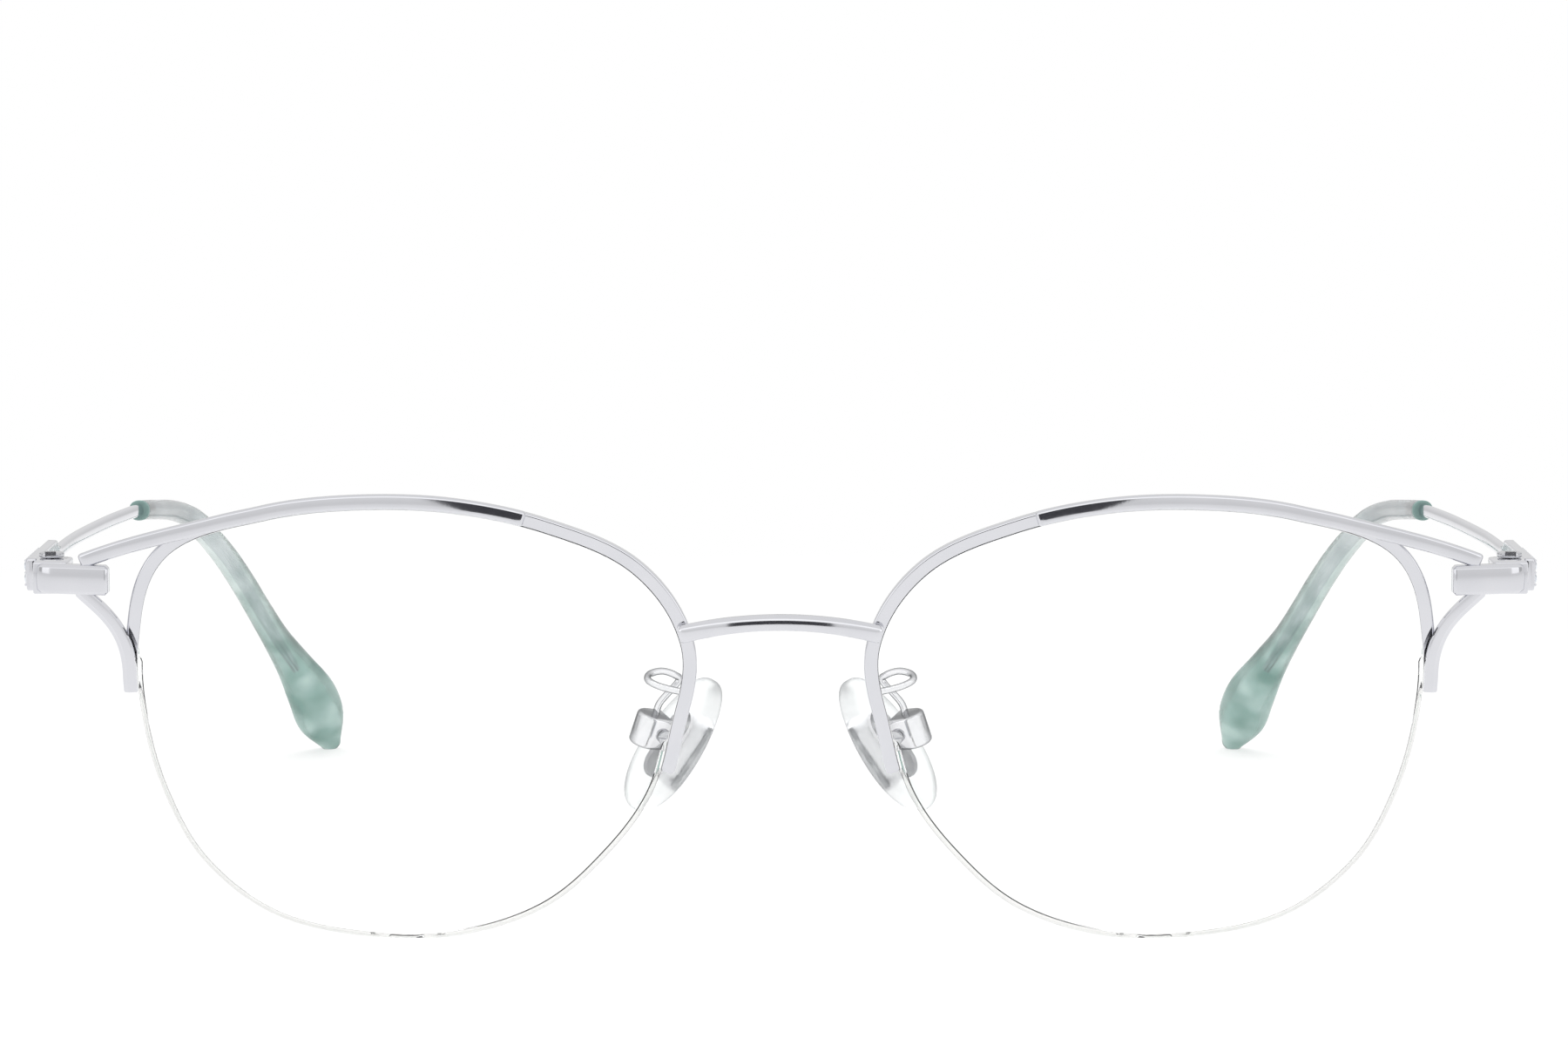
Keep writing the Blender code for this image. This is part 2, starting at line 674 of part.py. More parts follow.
def make_arm(name):
    front = LENS_THICKNESS / 2 - RIM_DEPTH / 2 - SOLDER_GAP - ARM_DEPTH
    profile = chamfered(-ARM_WIDTH / 2, ARM_WIDTH / 2, front, front + ARM_DEPTH, ARM_CHAMFER)
    return boolean(swept(name, arm_line(), profile), block_cutter(name + "_cut"))


# The hinge.

HINGE_LOW = BLOCK_LOW - HINGE_RISE
HINGE_HIGH = BLOCK_HIGH + HINGE_RISE
KNUCKLE_LOW = BLOCK_MIDDLE_HEIGHT - KNUCKLE_HEIGHT / 2
KNUCKLE_HIGH = KNUCKLE_LOW + KNUCKLE_HEIGHT


def round_hinge(first, last, steps, radius=KNUCKLE_RADIUS):
    """Points on a circle round the hinge's axis, between two angles in degrees."""
    angles = [math.radians(first + (last - first) * k / steps) for k in range(steps + 1)]
    return [Vector((HINGE_X + radius * math.cos(a), HINGE_Y + radius * math.sin(a))) for a in angles]


def make_front_hinge(name):
    """The front half: a body behind the end piece whose rear is split into two knuckles."""
    inner = HINGE_X + KNUCKLE_RADIUS - HINGE_WIDTH
    start = HINGE_Y - HINGE_LENGTH
    rear = HINGE_Y + KNUCKLE_RADIUS
    outline = [Vector((HINGE_X + KNUCKLE_RADIUS, start))] + round_hinge(0, 90, ROUND_SIDES // 4)
    outline += [Vector((inner + HINGE_CORNER, rear)), Vector((inner, rear - HINGE_CORNER)),
                Vector((inner, start))]
    body = bevelled(plate(name, outline, HINGE_LOW, HINGE_HIGH), HINGE_BEVEL)
    boolean(body, block_cutter(name + "_cut"))
    gap_start = HINGE_Y - KNUCKLE_RADIUS - KNUCKLE_PLAY * 2
    slot = box((-HINGE_X - HINGE_WIDTH, gap_start, KNUCKLE_LOW - KNUCKLE_PLAY),
               (-HINGE_X + HINGE_WIDTH, rear + CUT_OVERRUN, KNUCKLE_HIGH + KNUCKLE_PLAY))
    boolean(body, cutter(name + "_slot", slot))
    bore = cylinder(SCREW_RADIUS + SCREW_PLAY, HINGE_LOW - CUT_OVERRUN, HINGE_HIGH + CUT_OVERRUN,
                    (-HINGE_X, HINGE_Y))
    return boolean(body, cutter(name + "_bore", bore))


def make_temple_hinge(name):
    """The temple's half: one knuckle on a leaf that lies on the temple's inner face."""
    face = PLATE_X - PLATE_THICKNESS / 2 - SOLDER_GAP
    inner = face - LEAF_THICKNESS
    rear = HINGE_Y + LEAF_LENGTH
    outline = round_hinge(0, -250, ROUND_SIDES)
    outline += [Vector((inner, HINGE_Y + LEAF_FILLET)), Vector((inner, rear)), Vector((face, rear)),
                Vector((face, HINGE_Y + SOLDER_GAP))]
    leaf = plate(name, outline, KNUCKLE_LOW, KNUCKLE_HIGH)
    bore = cylinder(SCREW_RADIUS + SCREW_PLAY, KNUCKLE_LOW - CUT_OVERRUN, KNUCKLE_HIGH + CUT_OVERRUN,
                    (-HINGE_X, HINGE_Y))
    return boolean(leaf, cutter(name + "_bore", bore))


def turned(name, profile, centre):
    """A turned piece: a (radius, height) profile, outer side from top to bottom, spun round."""
    mesh = bpy.data.meshes.new(name)
    mesh.from_pydata([(r, 0.0, z) for r, z in profile], [(i, i + 1) for i in range(len(profile) - 1)], [])
    made = bpy.data.objects.new(name, mesh)
    PARTS.objects.link(made)
    spin = made.modifiers.new("screw", "SCREW")
    spin.steps = spin.render_steps = ROUND_SIDES
    spin.use_merge_vertices = True
    spin.merge_threshold = WELD
    made.location = (*centre, 0.0)
    return baked(made)


def make_hinge_screw(name):
    """A slotted cheese-head screw that is the hinge's pin."""
    seat = HINGE_HIGH + SCREW_PLAY
    top = seat + SCREW_HEAD_HEIGHT
    profile = [(0.0, top), (SCREW_HEAD_RADIUS - SCREW_BEVEL, top), (SCREW_HEAD_RADIUS, top - SCREW_BEVEL),
               (SCREW_HEAD_RADIUS, seat), (SCREW_RADIUS, seat), (SCREW_RADIUS, HINGE_LOW + SCREW_BEVEL),
               (SCREW_RADIUS - SCREW_BEVEL, HINGE_LOW), (0.0, HINGE_LOW)]
    made = turned(name, profile, (-HINGE_X, HINGE_Y))
    reach, half = SCREW_HEAD_RADIUS + CUT_OVERRUN, SCREW_SLOT_WIDTH / 2
    slot = box((-HINGE_X - reach, HINGE_Y - half, top - SCREW_SLOT_DEPTH),
               (-HINGE_X + reach, HINGE_Y + half, top + CUT_OVERRUN))
    return boolean(made, cutter(name + "_slot", slot))


# The temple and its tip.

def temple_place(i):
    """The temple's middle line at a station."""
    return spot(PLATE_X - TEMPLE_IN_SHARES[i] * TIP_INSET, HINGE_Y + TEMPLE_BACK_SHARES[i] * TEMPLE_REACH,
                TEMPLE_HEIGHT_SHARES[i] * BLOCK_MIDDLE_HEIGHT)


STATIONS = len(TEMPLE_BACK_SHARES)


def temple_frame(i):
    """The directions across (out) and up, square to the temple at a station."""
    along = (temple_place(min(i + 1, STATIONS - 1)) - temple_place(max(i - 1, 0))).normalized()
    if i < PLATE_STATIONS:
        along = Vector((0.0, 1.0, 0.0))
    out = Vector((-1.0, 0.0, 0.0))
    out = (out - along * out.dot(along)).normalized()
    return out, out.cross(along), along


def section(centre, across, up, half_width, half_height, squareness):
    """A closed section: an ellipse, or nearer to a rectangle with more squareness."""
    ring = []
    for k in range(SECTION_POINTS):
        c, s = math.cos(math.tau * k / SECTION_POINTS), math.sin(math.tau * k / SECTION_POINTS)
        a = math.copysign(abs(c) ** (2 / squareness), c) * half_width
        b = math.copysign(abs(s) ** (2 / squareness), s) * half_height
        ring.append(centre + across * a + up * b)
    return ring


def core_ring(i, grow=0.0):
    out, up, _ = temple_frame(i)
    return section(temple_place(i), out, up, WIRE_THICKNESS / 2 + grow, WIRE_HEIGHT / 2 + grow,
                   WIRE_SQUARENESS)


def make_temple(name):
    """One metal piece: the flat plate at the hinge, the wire, and the core inside the tip."""
    rings = []
    for i in range(CORE_END_STATION + 1):
        if i <= PLATE_STATIONS:
            out, up, _ = temple_frame(i)
            rings.append(section(temple_place(i), out, up, PLATE_THICKNESS / 2, PLATE_HEIGHT / 2,
                                 PLATE_SQUARENESS))
        else:
            rings.append(core_ring(i))
    return loft(name, rings)


def make_tip(name):
    """A sleeve over the temple's core that swells into a paddle, flat where it stands."""
    bore = [core_ring(i, TIP_FIT) for i in range(SLEEVE_STATION, CORE_END_STATION + 1)]
    out, up, along = temple_frame(CORE_END_STATION)
    bore[-1] = [point + along * TIP_FIT * 2 for point in bore[-1]]
    skin = []
    for k, (wide, thick) in enumerate(zip(TIP_WIDTH_SHARES, TIP_THICKNESS_SHARES)):
        i = SLEEVE_STATION + k
        out, up, along = temple_frame(i)
        turn = TIP_TWIST * k / (len(TIP_WIDTH_SHARES) - 1)
        across = out * math.cos(turn) + up * math.sin(turn)
        other = across.cross(along)
        skin.append((temple_place(i), across, other, TIP_WIDTH * wide / 2, TIP_THICKNESS * thick / 2))
    rings = [section(c, a, b, w, t, TIP_SQUARENESS) for c, a, b, w, t in skin]
    centre, across, other, w, t = skin[-1]
    for step, share in TIP_END_SHARES:
        rings.append(section(centre + along * TIP_END_LENGTH * step, across, other, w * share, t * share,
                             TIP_SQUARENESS))
    made = loft(name, list(reversed(bore)) + rings)
    return boolean(made, floor_cutter(name + "_foot_cut"))


def floor_cutter(name):
    """The slab below the surface that the glasses stand on."""
    reach = 2 * TEMPLE_REACH
    return cutter(name, box((-reach, -reach, -LENS_HEIGHT), (0.0, reach, FOOT_CUT)))


def make_trim(name):
    """A strip set with two rows of small stones, on the plate's outer face."""
    count = max(int(TRIM_LENGTH / STONE_PITCH), 1)
    bm = bmesh.new()
    bmesh.ops.create_grid(bm, x_segments=count, y_segments=STONE_ROWS, size=0.5)
    bmesh.ops.scale(bm, vec=(TRIM_LENGTH, TRIM_HEIGHT, 1.0), verts=bm.verts)
    tops = bm.faces[:]
    base = bmesh.ops.extrude_face_region(bm, geom=tops)
    low = [v for v in base["geom"] if isinstance(v, bmesh.types.BMVert)]
    bmesh.ops.translate(bm, vec=(0.0, 0.0, -TRIM_THICKNESS), verts=low)
    bmesh.ops.recalc_face_normals(bm, faces=bm.faces)
    bmesh.ops.inset_individual(bm, faces=tops, thickness=STONE_EDGE, depth=STONE_HEIGHT)
    one, two = temple_place(0), temple_place(2)
    along = (two - one).normalized()
    out, up = Vector((-along.y, along.x, 0.0)), Vector((0.0, 0.0, 1.0))
    middle = one + along * (TRIM_START + TRIM_LENGTH / 2)
    middle = middle + out * (PLATE_THICKNESS / 2 + SOLDER_GAP + TRIM_THICKNESS)
    frame = Matrix((-along, up, out)).transposed().to_4x4()
    bm.transform(Matrix.Translation(middle) @ frame)
    return mesh_object(name, bm)


# The bridge.

def make_bridge(name):
    """An arched bar across the nose, its ends in front of the rims."""
    end_height = LENS_UP + BRIDGE_END_RISE
    join = angle_at_height(end_height, math.radians(200), math.radians(120))
    half = abs(off_edge(join, RIM_WIDTH - BRIDGE_OVERLAP).x)
    front = LENS_THICKNESS / 2 - RIM_DEPTH / 2 - SOLDER_GAP - BRIDGE_DEPTH + face_back(half, end_height)
    profile = chamfered(-BRIDGE_HEIGHT / 2, BRIDGE_HEIGHT / 2, front, front + BRIDGE_DEPTH, BRIDGE_CHAMFER)
    rings = []
    for k in range(BRIDGE_STEPS + 1):
        share = 2 * k / BRIDGE_STEPS - 1
        slope = math.atan2(-2 * BRIDGE_RISE * share, half)
        ring = []
        for across, back in profile:
            x = half * share - across * math.sin(slope)
            z = end_height + BRIDGE_RISE * (1 - share * share) + across * math.cos(slope)
            ring.append(Vector((x, back - BRIDGE_BOW * (1 - share * share), z)))
        rings.append(ring)
    return loft(name, rings)


# The nose pads. Their pieces are made about the pad's screw: local X towards the nose, Y
# along the screw and backwards, Z up along the pad. The box is turned about the same screw.

PAD_FRAME = (Matrix.Translation(spot(PAD_OUT, PAD_BACK, PAD_HEIGHT))
             @ Matrix.Rotation(PAD_CANT, 4, "Y") @ Matrix.Rotation(PAD_SPLAY, 4, "Z"))
BOX_FRAME = PAD_FRAME @ Matrix.Rotation(BOX_CANT - PAD_CANT, 4, "Y")
SLOT_WIDTH = BOX_DEPTH - 2 * BOX_WALL
TONGUE_WIDTH = SLOT_WIDTH - 2 * TONGUE_PLAY


def in_frame(made, frame):
    made.data.transform(frame)
    made.data.update()
    return made


def along_screw(bm):
    """Turn an upright bmesh so that its top points forwards, along the pad's screw."""
    bm.transform(Matrix.Rotation(math.radians(90), 4, "X"))
    return bm


def pad_screw_bore():
    return along_screw(cylinder(PAD_SCREW_RADIUS + SCREW_PLAY, -BOX_DEPTH, BOX_DEPTH, sides=PAD_SCREW_SIDES))


def make_pad_box(name):
    """A small box with a round outer end, open towards the nose, bored for the pad's screw."""
    half = BOX_DEPTH / 2
    turn = [math.pi / 2 - math.pi * k / BOX_END_STEPS for k in range(BOX_END_STEPS + 1)]
    outline = [Vector((BOX_OUT - half + half * math.cos(a), half * math.sin(a))) for a in turn]
    outline += [Vector((-BOX_NOSE, -half)), Vector((-BOX_NOSE, half))]
    body = bevelled(plate(name, outline, -BOX_HEIGHT / 2, BOX_HEIGHT / 2), BOX_BEVEL, BOX_BEVEL_STEPS)
    room = math.hypot(TONGUE_BACK, TONGUE_HEIGHT / 2) + TONGUE_PLAY
    slot = box((-room, -SLOT_WIDTH / 2, BOX_END_WALL - BOX_HEIGHT / 2),
               (BOX_NOSE + CUT_OVERRUN, SLOT_WIDTH / 2, BOX_HEIGHT / 2 - BOX_END_WALL))
    boolean(body, cutter(name + "_slot", slot))
    boolean(body, cutter(name + "_bore", pad_screw_bore()))
    return in_frame(baked(body), BOX_FRAME)


def make_pad_screw(name):
    """A small slotted screw; its head faces forwards."""
    seat = BOX_DEPTH / 2 + SCREW_PLAY
    top = seat + PAD_SCREW_HEAD_HEIGHT
    pin = cylinder(PAD_SCREW_RADIUS, -BOX_DEPTH / 2, (seat + top) / 2, sides=PAD_SCREW_SIDES)
    made = mesh_object(name, along_screw(pin))
    head = cylinder(PAD_SCREW_HEAD_RADIUS, seat, top, sides=PAD_SCREW_SIDES)
    boolean(made, cutter(name + "_head", along_screw(head)), "UNION")
    slot = box((-PAD_SCREW_HEAD_RADIUS - CUT_OVERRUN, -top - CUT_OVERRUN, -PAD_SCREW_SLOT_WIDTH / 2),
               (PAD_SCREW_HEAD_RADIUS + CUT_OVERRUN, -top + PAD_SCREW_SLOT_DEPTH, PAD_SCREW_SLOT_WIDTH / 2))
    boolean(made, cutter(name + "_slot", slot))
    return in_frame(baked(made), BOX_FRAME)


def make_insert(name):
    """The pad's metal plate, with the tongue that turns on the screw."""
    low = (INSERT_OUT, -INSERT_WIDTH / 2, -PAD_DROP - INSERT_LENGTH / 2)
    high = (INSERT_OUT + INSERT_THICKNESS, INSERT_WIDTH / 2, -PAD_DROP + INSERT_LENGTH / 2)
    made = mesh_object(name, box(low, high))
    tongue = box((-TONGUE_BACK, -TONGUE_WIDTH / 2, -TONGUE_HEIGHT / 2),
                 (INSERT_OUT + INSERT_THICKNESS / 2, TONGUE_WIDTH / 2, TONGUE_HEIGHT / 2))
    boolean(made, cutter(name + "_tongue", tongue), "UNION")
    boolean(made, cutter(name + "_bore", pad_screw_bore()))
    return in_frame(baked(made), PAD_FRAME)


def make_pad(name):
    """A clear pad with a flat bearing face, moulded round the insert's plate."""
    rings = []
    for inward, shrink in ((0.0, PAD_EDGE), (PAD_ROUND_SHARE * PAD_EDGE, PAD_ROUND_SHARE * PAD_EDGE),
                           (PAD_EDGE, 0.0), (PAD_THICKNESS - PAD_EDGE, 0.0),
                           (PAD_THICKNESS - PAD_ROUND_SHARE * PAD_EDGE, PAD_ROUND_SHARE * PAD_EDGE),
                           (PAD_THICKNESS, PAD_EDGE)):
        ring = []
        for k in range(PAD_SIDES):
            angle = math.tau * k / PAD_SIDES
            up = math.sin(angle) * (PAD_LENGTH / 2 - shrink)
            wide = math.cos(angle) * (PAD_WIDTH / 2 - shrink) * (1 - PAD_TAPER_SHARE * math.sin(angle))
            ring.append(Vector((PAD_START + inward, wide, up - PAD_DROP)))
        rings.append(ring)
    made = loft(name, rings)
    gap = INSERT_FIT
    wide, tall = INSERT_WIDTH / 2 + gap, INSERT_LENGTH / 2 + gap
    room = box((INSERT_OUT - gap, -wide, -PAD_DROP - tall),
               (INSERT_OUT + INSERT_THICKNESS + gap, wide, -PAD_DROP + tall))
    boolean(made, cutter(name + "_room", room))
    neck = box((PAD_START - CUT_OVERRUN, -TONGUE_WIDTH / 2 - gap, -TONGUE_HEIGHT / 2 - gap),
               (INSERT_OUT + gap, TONGUE_WIDTH / 2 + gap, TONGUE_HEIGHT / 2 + gap))
    boolean(made, cutter(name + "_neck", neck))
    return in_frame(baked(made), PAD_FRAME)


def make_pad_arm(name):
    """A wire from the rim's back, round a loop, down to the top of the pad's box."""
    foot = angle_at_height(LENS_UP + PAD_WIRE_FOOT, math.radians(200), math.radians(120))
    place = off_edge(foot, (RIM_WIDTH + LENS_SEAT_GAP) / 2)
    rim_back = LENS_THICKNESS / 2 + RIM_DEPTH / 2 + SOLDER_GAP
    start = spot(place.x, rim_back + face_back(place.x, place.y), place.y)
    end = BOX_FRAME @ Vector((-PAD_WIRE_SEAT, 0.0, BOX_HEIGHT / 2 + SOLDER_GAP))
    rise = BOX_FRAME.to_3x3() @ Vector((0.0, 0.0, 1.0))
    route = [start]
    for out, back, up in zip(PAD_LOOP_OUT_SHARES, PAD_LOOP_BACK_SHARES, PAD_LOOP_UP_SHARES):
        route.append(start + spot(out * PAD_LOOP_WIDTH, back * (end.y - start.y), up * PAD_LOOP_RISE))
    route += [end + rise * PAD_WIRE_POST, end]
    curve = bpy.data.curves.new(name, "CURVE")
    curve.dimensions = "3D"
    curve.bevel_depth = PAD_WIRE_RADIUS
    curve.bevel_resolution = 1
    curve.use_fill_caps = True
    line = curve.splines.new("POLY")
    count = (len(route) - 1) * PAD_WIRE_STEPS
    line.points.add(count)
    for k, point in enumerate(line.points):
        point.co = (*smooth_at(route, k / PAD_WIRE_STEPS), 1.0)
    made = bpy.data.objects.new(name, curve)
    PARTS.objects.link(made)
    return baked(made)


# Putting the pieces together.

FRONT_PIECES = (
    ("rim", make_rim, METAL), ("brow_bar", make_brow, METAL), ("lower_arm", make_arm, METAL),
    ("end_piece", make_block, METAL), ("front_hinge", make_front_hinge, METAL),
    ("hinge_screw", make_hinge_screw, STEEL), ("lens", make_lens, CLEAR), ("nylon_cord", make_cord, NYLON),
    ("rim_liner", make_liner, NYLON), ("pad_arm", make_pad_arm, METAL), ("pad_box", make_pad_box, METAL),
    ("pad_screw", make_pad_screw, STEEL),
)
PAD_PIECES = (("nose_pad", make_pad, SILICONE), ("pad_insert", make_insert, STEEL))
TEMPLE_PIECES = (
    ("temple", make_temple, METAL), ("temple_hinge", make_temple_hinge, METAL),
    ("temple_trim", make_trim, STONE), ("temple_tip", make_tip, TEAL),
)
MIRROR = Matrix.Diagonal((-1.0, 1.0, 1.0, 1.0))


def empty(name, matrix, parent):
    made = bpy.data.objects.new(name, None)
    PARTS.objects.link(made)
    made.parent = parent
    made.matrix_world = matrix
    bpy.context.view_layer.update()
    return made


def seat(made, parent, finish):
    """Give a piece its material and hang it on its parent, with its place in its mesh."""
    made.data.materials.clear()
    made.data.materials.append(finish)
    made.data.transform(parent.matrix_world.inverted())
    made.parent = parent
    made.data.shade_smooth()
    made.data.set_sharp_from_angle(angle=math.radians(35))
    return made


def both_sides(name, make, finish, parents):
    """Model a piece on the right, and mirror it for the left."""
    right = baked(make("right_" + name))
    mesh = right.data.copy()
    mesh.transform(MIRROR)
    mesh.flip_normals()
    left = bpy.data.objects.new("left_" + name, mesh)
    PARTS.objects.link(left)
    seat(right, parents[0], finish)
    seat(left, parents[1], finish)


def drop_on_floor(whole):
    """Move the whole so that the origin is on the floor, under the middle of its box."""
    bpy.context.view_layer.update()
    corners = [piece.matrix_world @ v.co for piece in PARTS.objects if piece.type == "MESH"
               for v in piece.data.vertices]
    backs = [c.y for c in corners]
    whole.location = (0.0, -(min(backs) + max(backs)) / 2, -min(c.z for c in corners))


def main():
    whole = empty("eyeglasses", Matrix.Identity(4), None)
    hinge = Matrix.Translation(spot(HINGE_X, HINGE_Y, BLOCK_MIDDLE_HEIGHT))
    hinges = [empty("right_temple_axis", hinge, whole),
              empty("left_temple_axis", MIRROR @ hinge @ MIRROR, whole)]
    pads = [empty("right_pad_axis", PAD_FRAME, whole),
            empty("left_pad_axis", MIRROR @ PAD_FRAME @ MIRROR, whole)]
    finishes = {}
    groups = ((FRONT_PIECES, (whole, whole)), (PAD_PIECES, pads), (TEMPLE_PIECES, hinges))
    for pieces, parents in groups:
        for name, make, look in pieces:
            if look not in finishes:
                finishes[look] = material(name, *look)
            both_sides(name, make, finishes[look], parents)
    bridge = baked(make_bridge("bridge"))
    seat(bridge, whole, finishes[METAL])
    drop_on_floor(whole)


main()
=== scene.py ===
"""Semi-rimless eyeglasses in polished metal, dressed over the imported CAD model.

Sizes are millimetres unless a comment says otherwise. Right and left are the wearer's, and
the right side lies at -X. "Out" is away from the middle plane, "back" is towards the ears.
Every right-hand piece is modelled once and mirrored for the left.
"""

import json
import math

import bpy
from mathutils import Matrix, Vector

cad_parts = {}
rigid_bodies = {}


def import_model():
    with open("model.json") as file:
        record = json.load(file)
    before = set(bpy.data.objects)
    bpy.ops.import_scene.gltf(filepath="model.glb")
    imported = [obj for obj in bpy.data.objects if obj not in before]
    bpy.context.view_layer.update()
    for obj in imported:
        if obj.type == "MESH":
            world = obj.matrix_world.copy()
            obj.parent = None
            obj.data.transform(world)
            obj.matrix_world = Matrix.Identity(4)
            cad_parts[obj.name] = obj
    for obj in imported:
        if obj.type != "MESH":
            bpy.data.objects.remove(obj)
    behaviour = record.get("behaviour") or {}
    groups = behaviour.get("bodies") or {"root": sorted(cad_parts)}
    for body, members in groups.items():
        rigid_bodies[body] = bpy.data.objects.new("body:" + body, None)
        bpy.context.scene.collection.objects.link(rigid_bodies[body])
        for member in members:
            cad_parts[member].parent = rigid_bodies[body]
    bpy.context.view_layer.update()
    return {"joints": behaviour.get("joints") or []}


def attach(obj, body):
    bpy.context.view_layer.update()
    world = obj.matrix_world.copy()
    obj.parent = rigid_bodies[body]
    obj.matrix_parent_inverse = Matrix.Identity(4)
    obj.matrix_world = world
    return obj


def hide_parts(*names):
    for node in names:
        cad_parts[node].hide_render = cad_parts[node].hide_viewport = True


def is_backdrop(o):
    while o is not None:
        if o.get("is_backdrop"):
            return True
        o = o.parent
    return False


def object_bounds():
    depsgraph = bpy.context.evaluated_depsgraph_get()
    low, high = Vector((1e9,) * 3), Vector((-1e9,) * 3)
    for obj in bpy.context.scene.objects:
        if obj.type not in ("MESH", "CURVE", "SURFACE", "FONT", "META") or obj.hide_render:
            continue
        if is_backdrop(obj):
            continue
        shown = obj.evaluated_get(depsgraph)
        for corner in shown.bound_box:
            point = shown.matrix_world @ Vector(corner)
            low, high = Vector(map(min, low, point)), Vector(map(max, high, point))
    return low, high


bpy.ops.object.select_all(action="SELECT")
bpy.ops.object.delete()
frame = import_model()


# Each rim is a drawn wire of nickel alloy with a groove along its inner side, bent to the
# upper edge of the lens and polished to a mirror before it is plated. It follows the face:
# the eye's front turns back at its outer side, and its lower edge leans back.

MM = 0.001
FACE_WRAP = math.radians(4.5)
FACE_LEAN = math.radians(7.0)
LENS_CURVE = 130.0
LENS_WIDTH = 51.2
LENS_HEIGHT = 41.9
LENS_GAP = 18.8
LENS_THICKNESS = 2.2
LENS_MIDDLE_OUT = (LENS_GAP + LENS_WIDTH) / 2
LENS_MIDDLE_UP = LENS_HEIGHT / 2
# The lens's edge from its middle, as shares of its half width and half height, every 20
# degrees from the outer side over the top.
LENS_EDGE_SHARES = (0.998, 1.073, 1.172, 1.067, 0.995, 0.982, 1.014, 1.080, 1.065,
                    0.965, 0.945, 0.940, 0.978, 0.9945, 1.005, 1.036, 1.017, 0.983)
LENS_SEAT_GAP = 0.1
RIM_WIDTH = 1.35
RIM_SLIMMING = 0.13
RIM_DEPTH = 2.0
RIM_ROUND = 0.22
RIM_BACK_ROUND = 0.55
RIM_INNER_ROUND = 0.15
RIM_FACE_LEAN = 0.16
RIM_GROOVE_WIDTH = 0.7
RIM_GROOVE_DEPTH = 0.55
RIM_GROOVE_BREAK = 0.05
RIM_OUTER_END = 2.85
RIM_NOSE_END = -4.4
RIM_END_ROUND = 0.45
BLOCK_GAP = 2.95
BLOCK_LENGTH = 8.5
BLOCK_RISE = 13.5
HINGE_IN = 2.32
HINGE_BEHIND = 2.65


def face_back(out, up):
    """How far back the eye's front surface lies."""
    u = abs(out) - LENS_MIDDLE_OUT
    w = up - LENS_MIDDLE_UP
    return math.tan(FACE_WRAP) * u + (u * u + w * w) / (2 * LENS_CURVE) - math.tan(FACE_LEAN) * w


# The end piece and the hinge's axis, by which everything is placed in the frame.
BLOCK_IN_END = LENS_MIDDLE_OUT + LENS_WIDTH / 2 + BLOCK_GAP
BLOCK_OUT_END = BLOCK_IN_END + BLOCK_LENGTH
BLOCK_MIDDLE_HEIGHT = LENS_MIDDLE_UP + BLOCK_RISE
HINGE_OUT = BLOCK_OUT_END - HINGE_IN
HINGE_BACK = face_back(BLOCK_OUT_END, BLOCK_MIDDLE_HEIGHT) + HINGE_BEHIND

hinge = next(j for j in frame["joints"] if j["name"] == "right_temple_fold")
ORIGIN = Vector(hinge["pos_m"]) - Vector((-HINGE_OUT, HINGE_BACK, BLOCK_MIDDLE_HEIGHT)) * MM


def spot(out, back, up):
    """A point of the right side, in metres."""
    return Vector((-out, back, up)) * MM + ORIGIN


def smooth_at(values, place):
    """A smooth value between evenly spaced ones, at a place counted in steps."""
    last = len(values) - 1
    i = max(min(int(place), last - 1), 0)
    f = place - i
    a, b, c, d = [values[min(max(i + k, 0), last)] for k in (-1, 0, 1, 2)]
    return 0.5 * (2 * b + (c - a) * f + (2 * a - 5 * b + 4 * c - d) * f * f
                  + (3 * b - a - 3 * c + d) * f ** 3)


def edge_point(angle):
    """A point of the lens's edge in the plane of the face: out and up."""
    count = len(LENS_EDGE_SHARES)
    place = (angle % math.tau) / math.tau * count
    i = int(place)
    around = [LENS_EDGE_SHARES[(i + k) % count] for k in (-1, 0, 1, 2)]
    radius = smooth_at(around, 1 + place - i)
    return Vector((LENS_MIDDLE_OUT + radius * math.cos(angle) * LENS_WIDTH / 2,
                   LENS_MIDDLE_UP + radius * math.sin(angle) * LENS_HEIGHT / 2))


def off_edge(angle, offset):
    """A point outside the lens's edge by an offset."""
    step = math.radians(0.5)
    along = edge_point(angle + step) - edge_point(angle - step)
    return edge_point(angle) + Vector((along.y, -along.x)).normalized() * offset


def edge_angle(height, low, high):
    """The angle, between two others in degrees, at which the lens's edge crosses a height."""
    low, high = math.radians(low), math.radians(high)
    rising = edge_point(high).y > edge_point(low).y
    for _ in range(40):
        middle = (low + high) / 2
        if (edge_point(middle).y < height) == rising:
            low = middle
        else:
            high = middle
    return (low + high) / 2


def even_spread(points, count):
    """Points at even distances along a line, with its ends."""
    run = [0.0]
    for one, two in zip(points, points[1:]):
        run.append(run[-1] + (two - one).length)
    spread = []
    i = 0
    for k in range(count + 1):
        want = run[-1] * k / count
        while i < len(points) - 2 and run[i + 1] < want:
            i += 1
        spread.append(points[i].lerp(points[i + 1], (want - run[i]) / (run[i + 1] - run[i])))
    return spread


def along_edge(first, last, offset, fine, count):
    """Even points outside the lens's edge by an offset, from one angle to another, from finer ones."""
    return even_spread([off_edge(first + (last - first) * k / fine, offset) for k in range(fine + 1)], count)


def arc(across, back, radius, first, steps):
    """The points of a quarter round about a centre, from a direction in degrees."""
    angles = [math.radians(first + 90 * k / steps) for k in range(steps + 1)]
    return [(across + radius * math.cos(a), back + radius * math.sin(a)) for a in angles]


def edit(*steps):
    """Enter edit mode with all selected, take some steps, and leave it."""
    bpy.ops.object.mode_set(mode="EDIT")
    bpy.ops.mesh.select_all(action="SELECT")
    for step, settings in steps:
        step(**settings)
    bpy.ops.object.mode_set(mode="OBJECT")


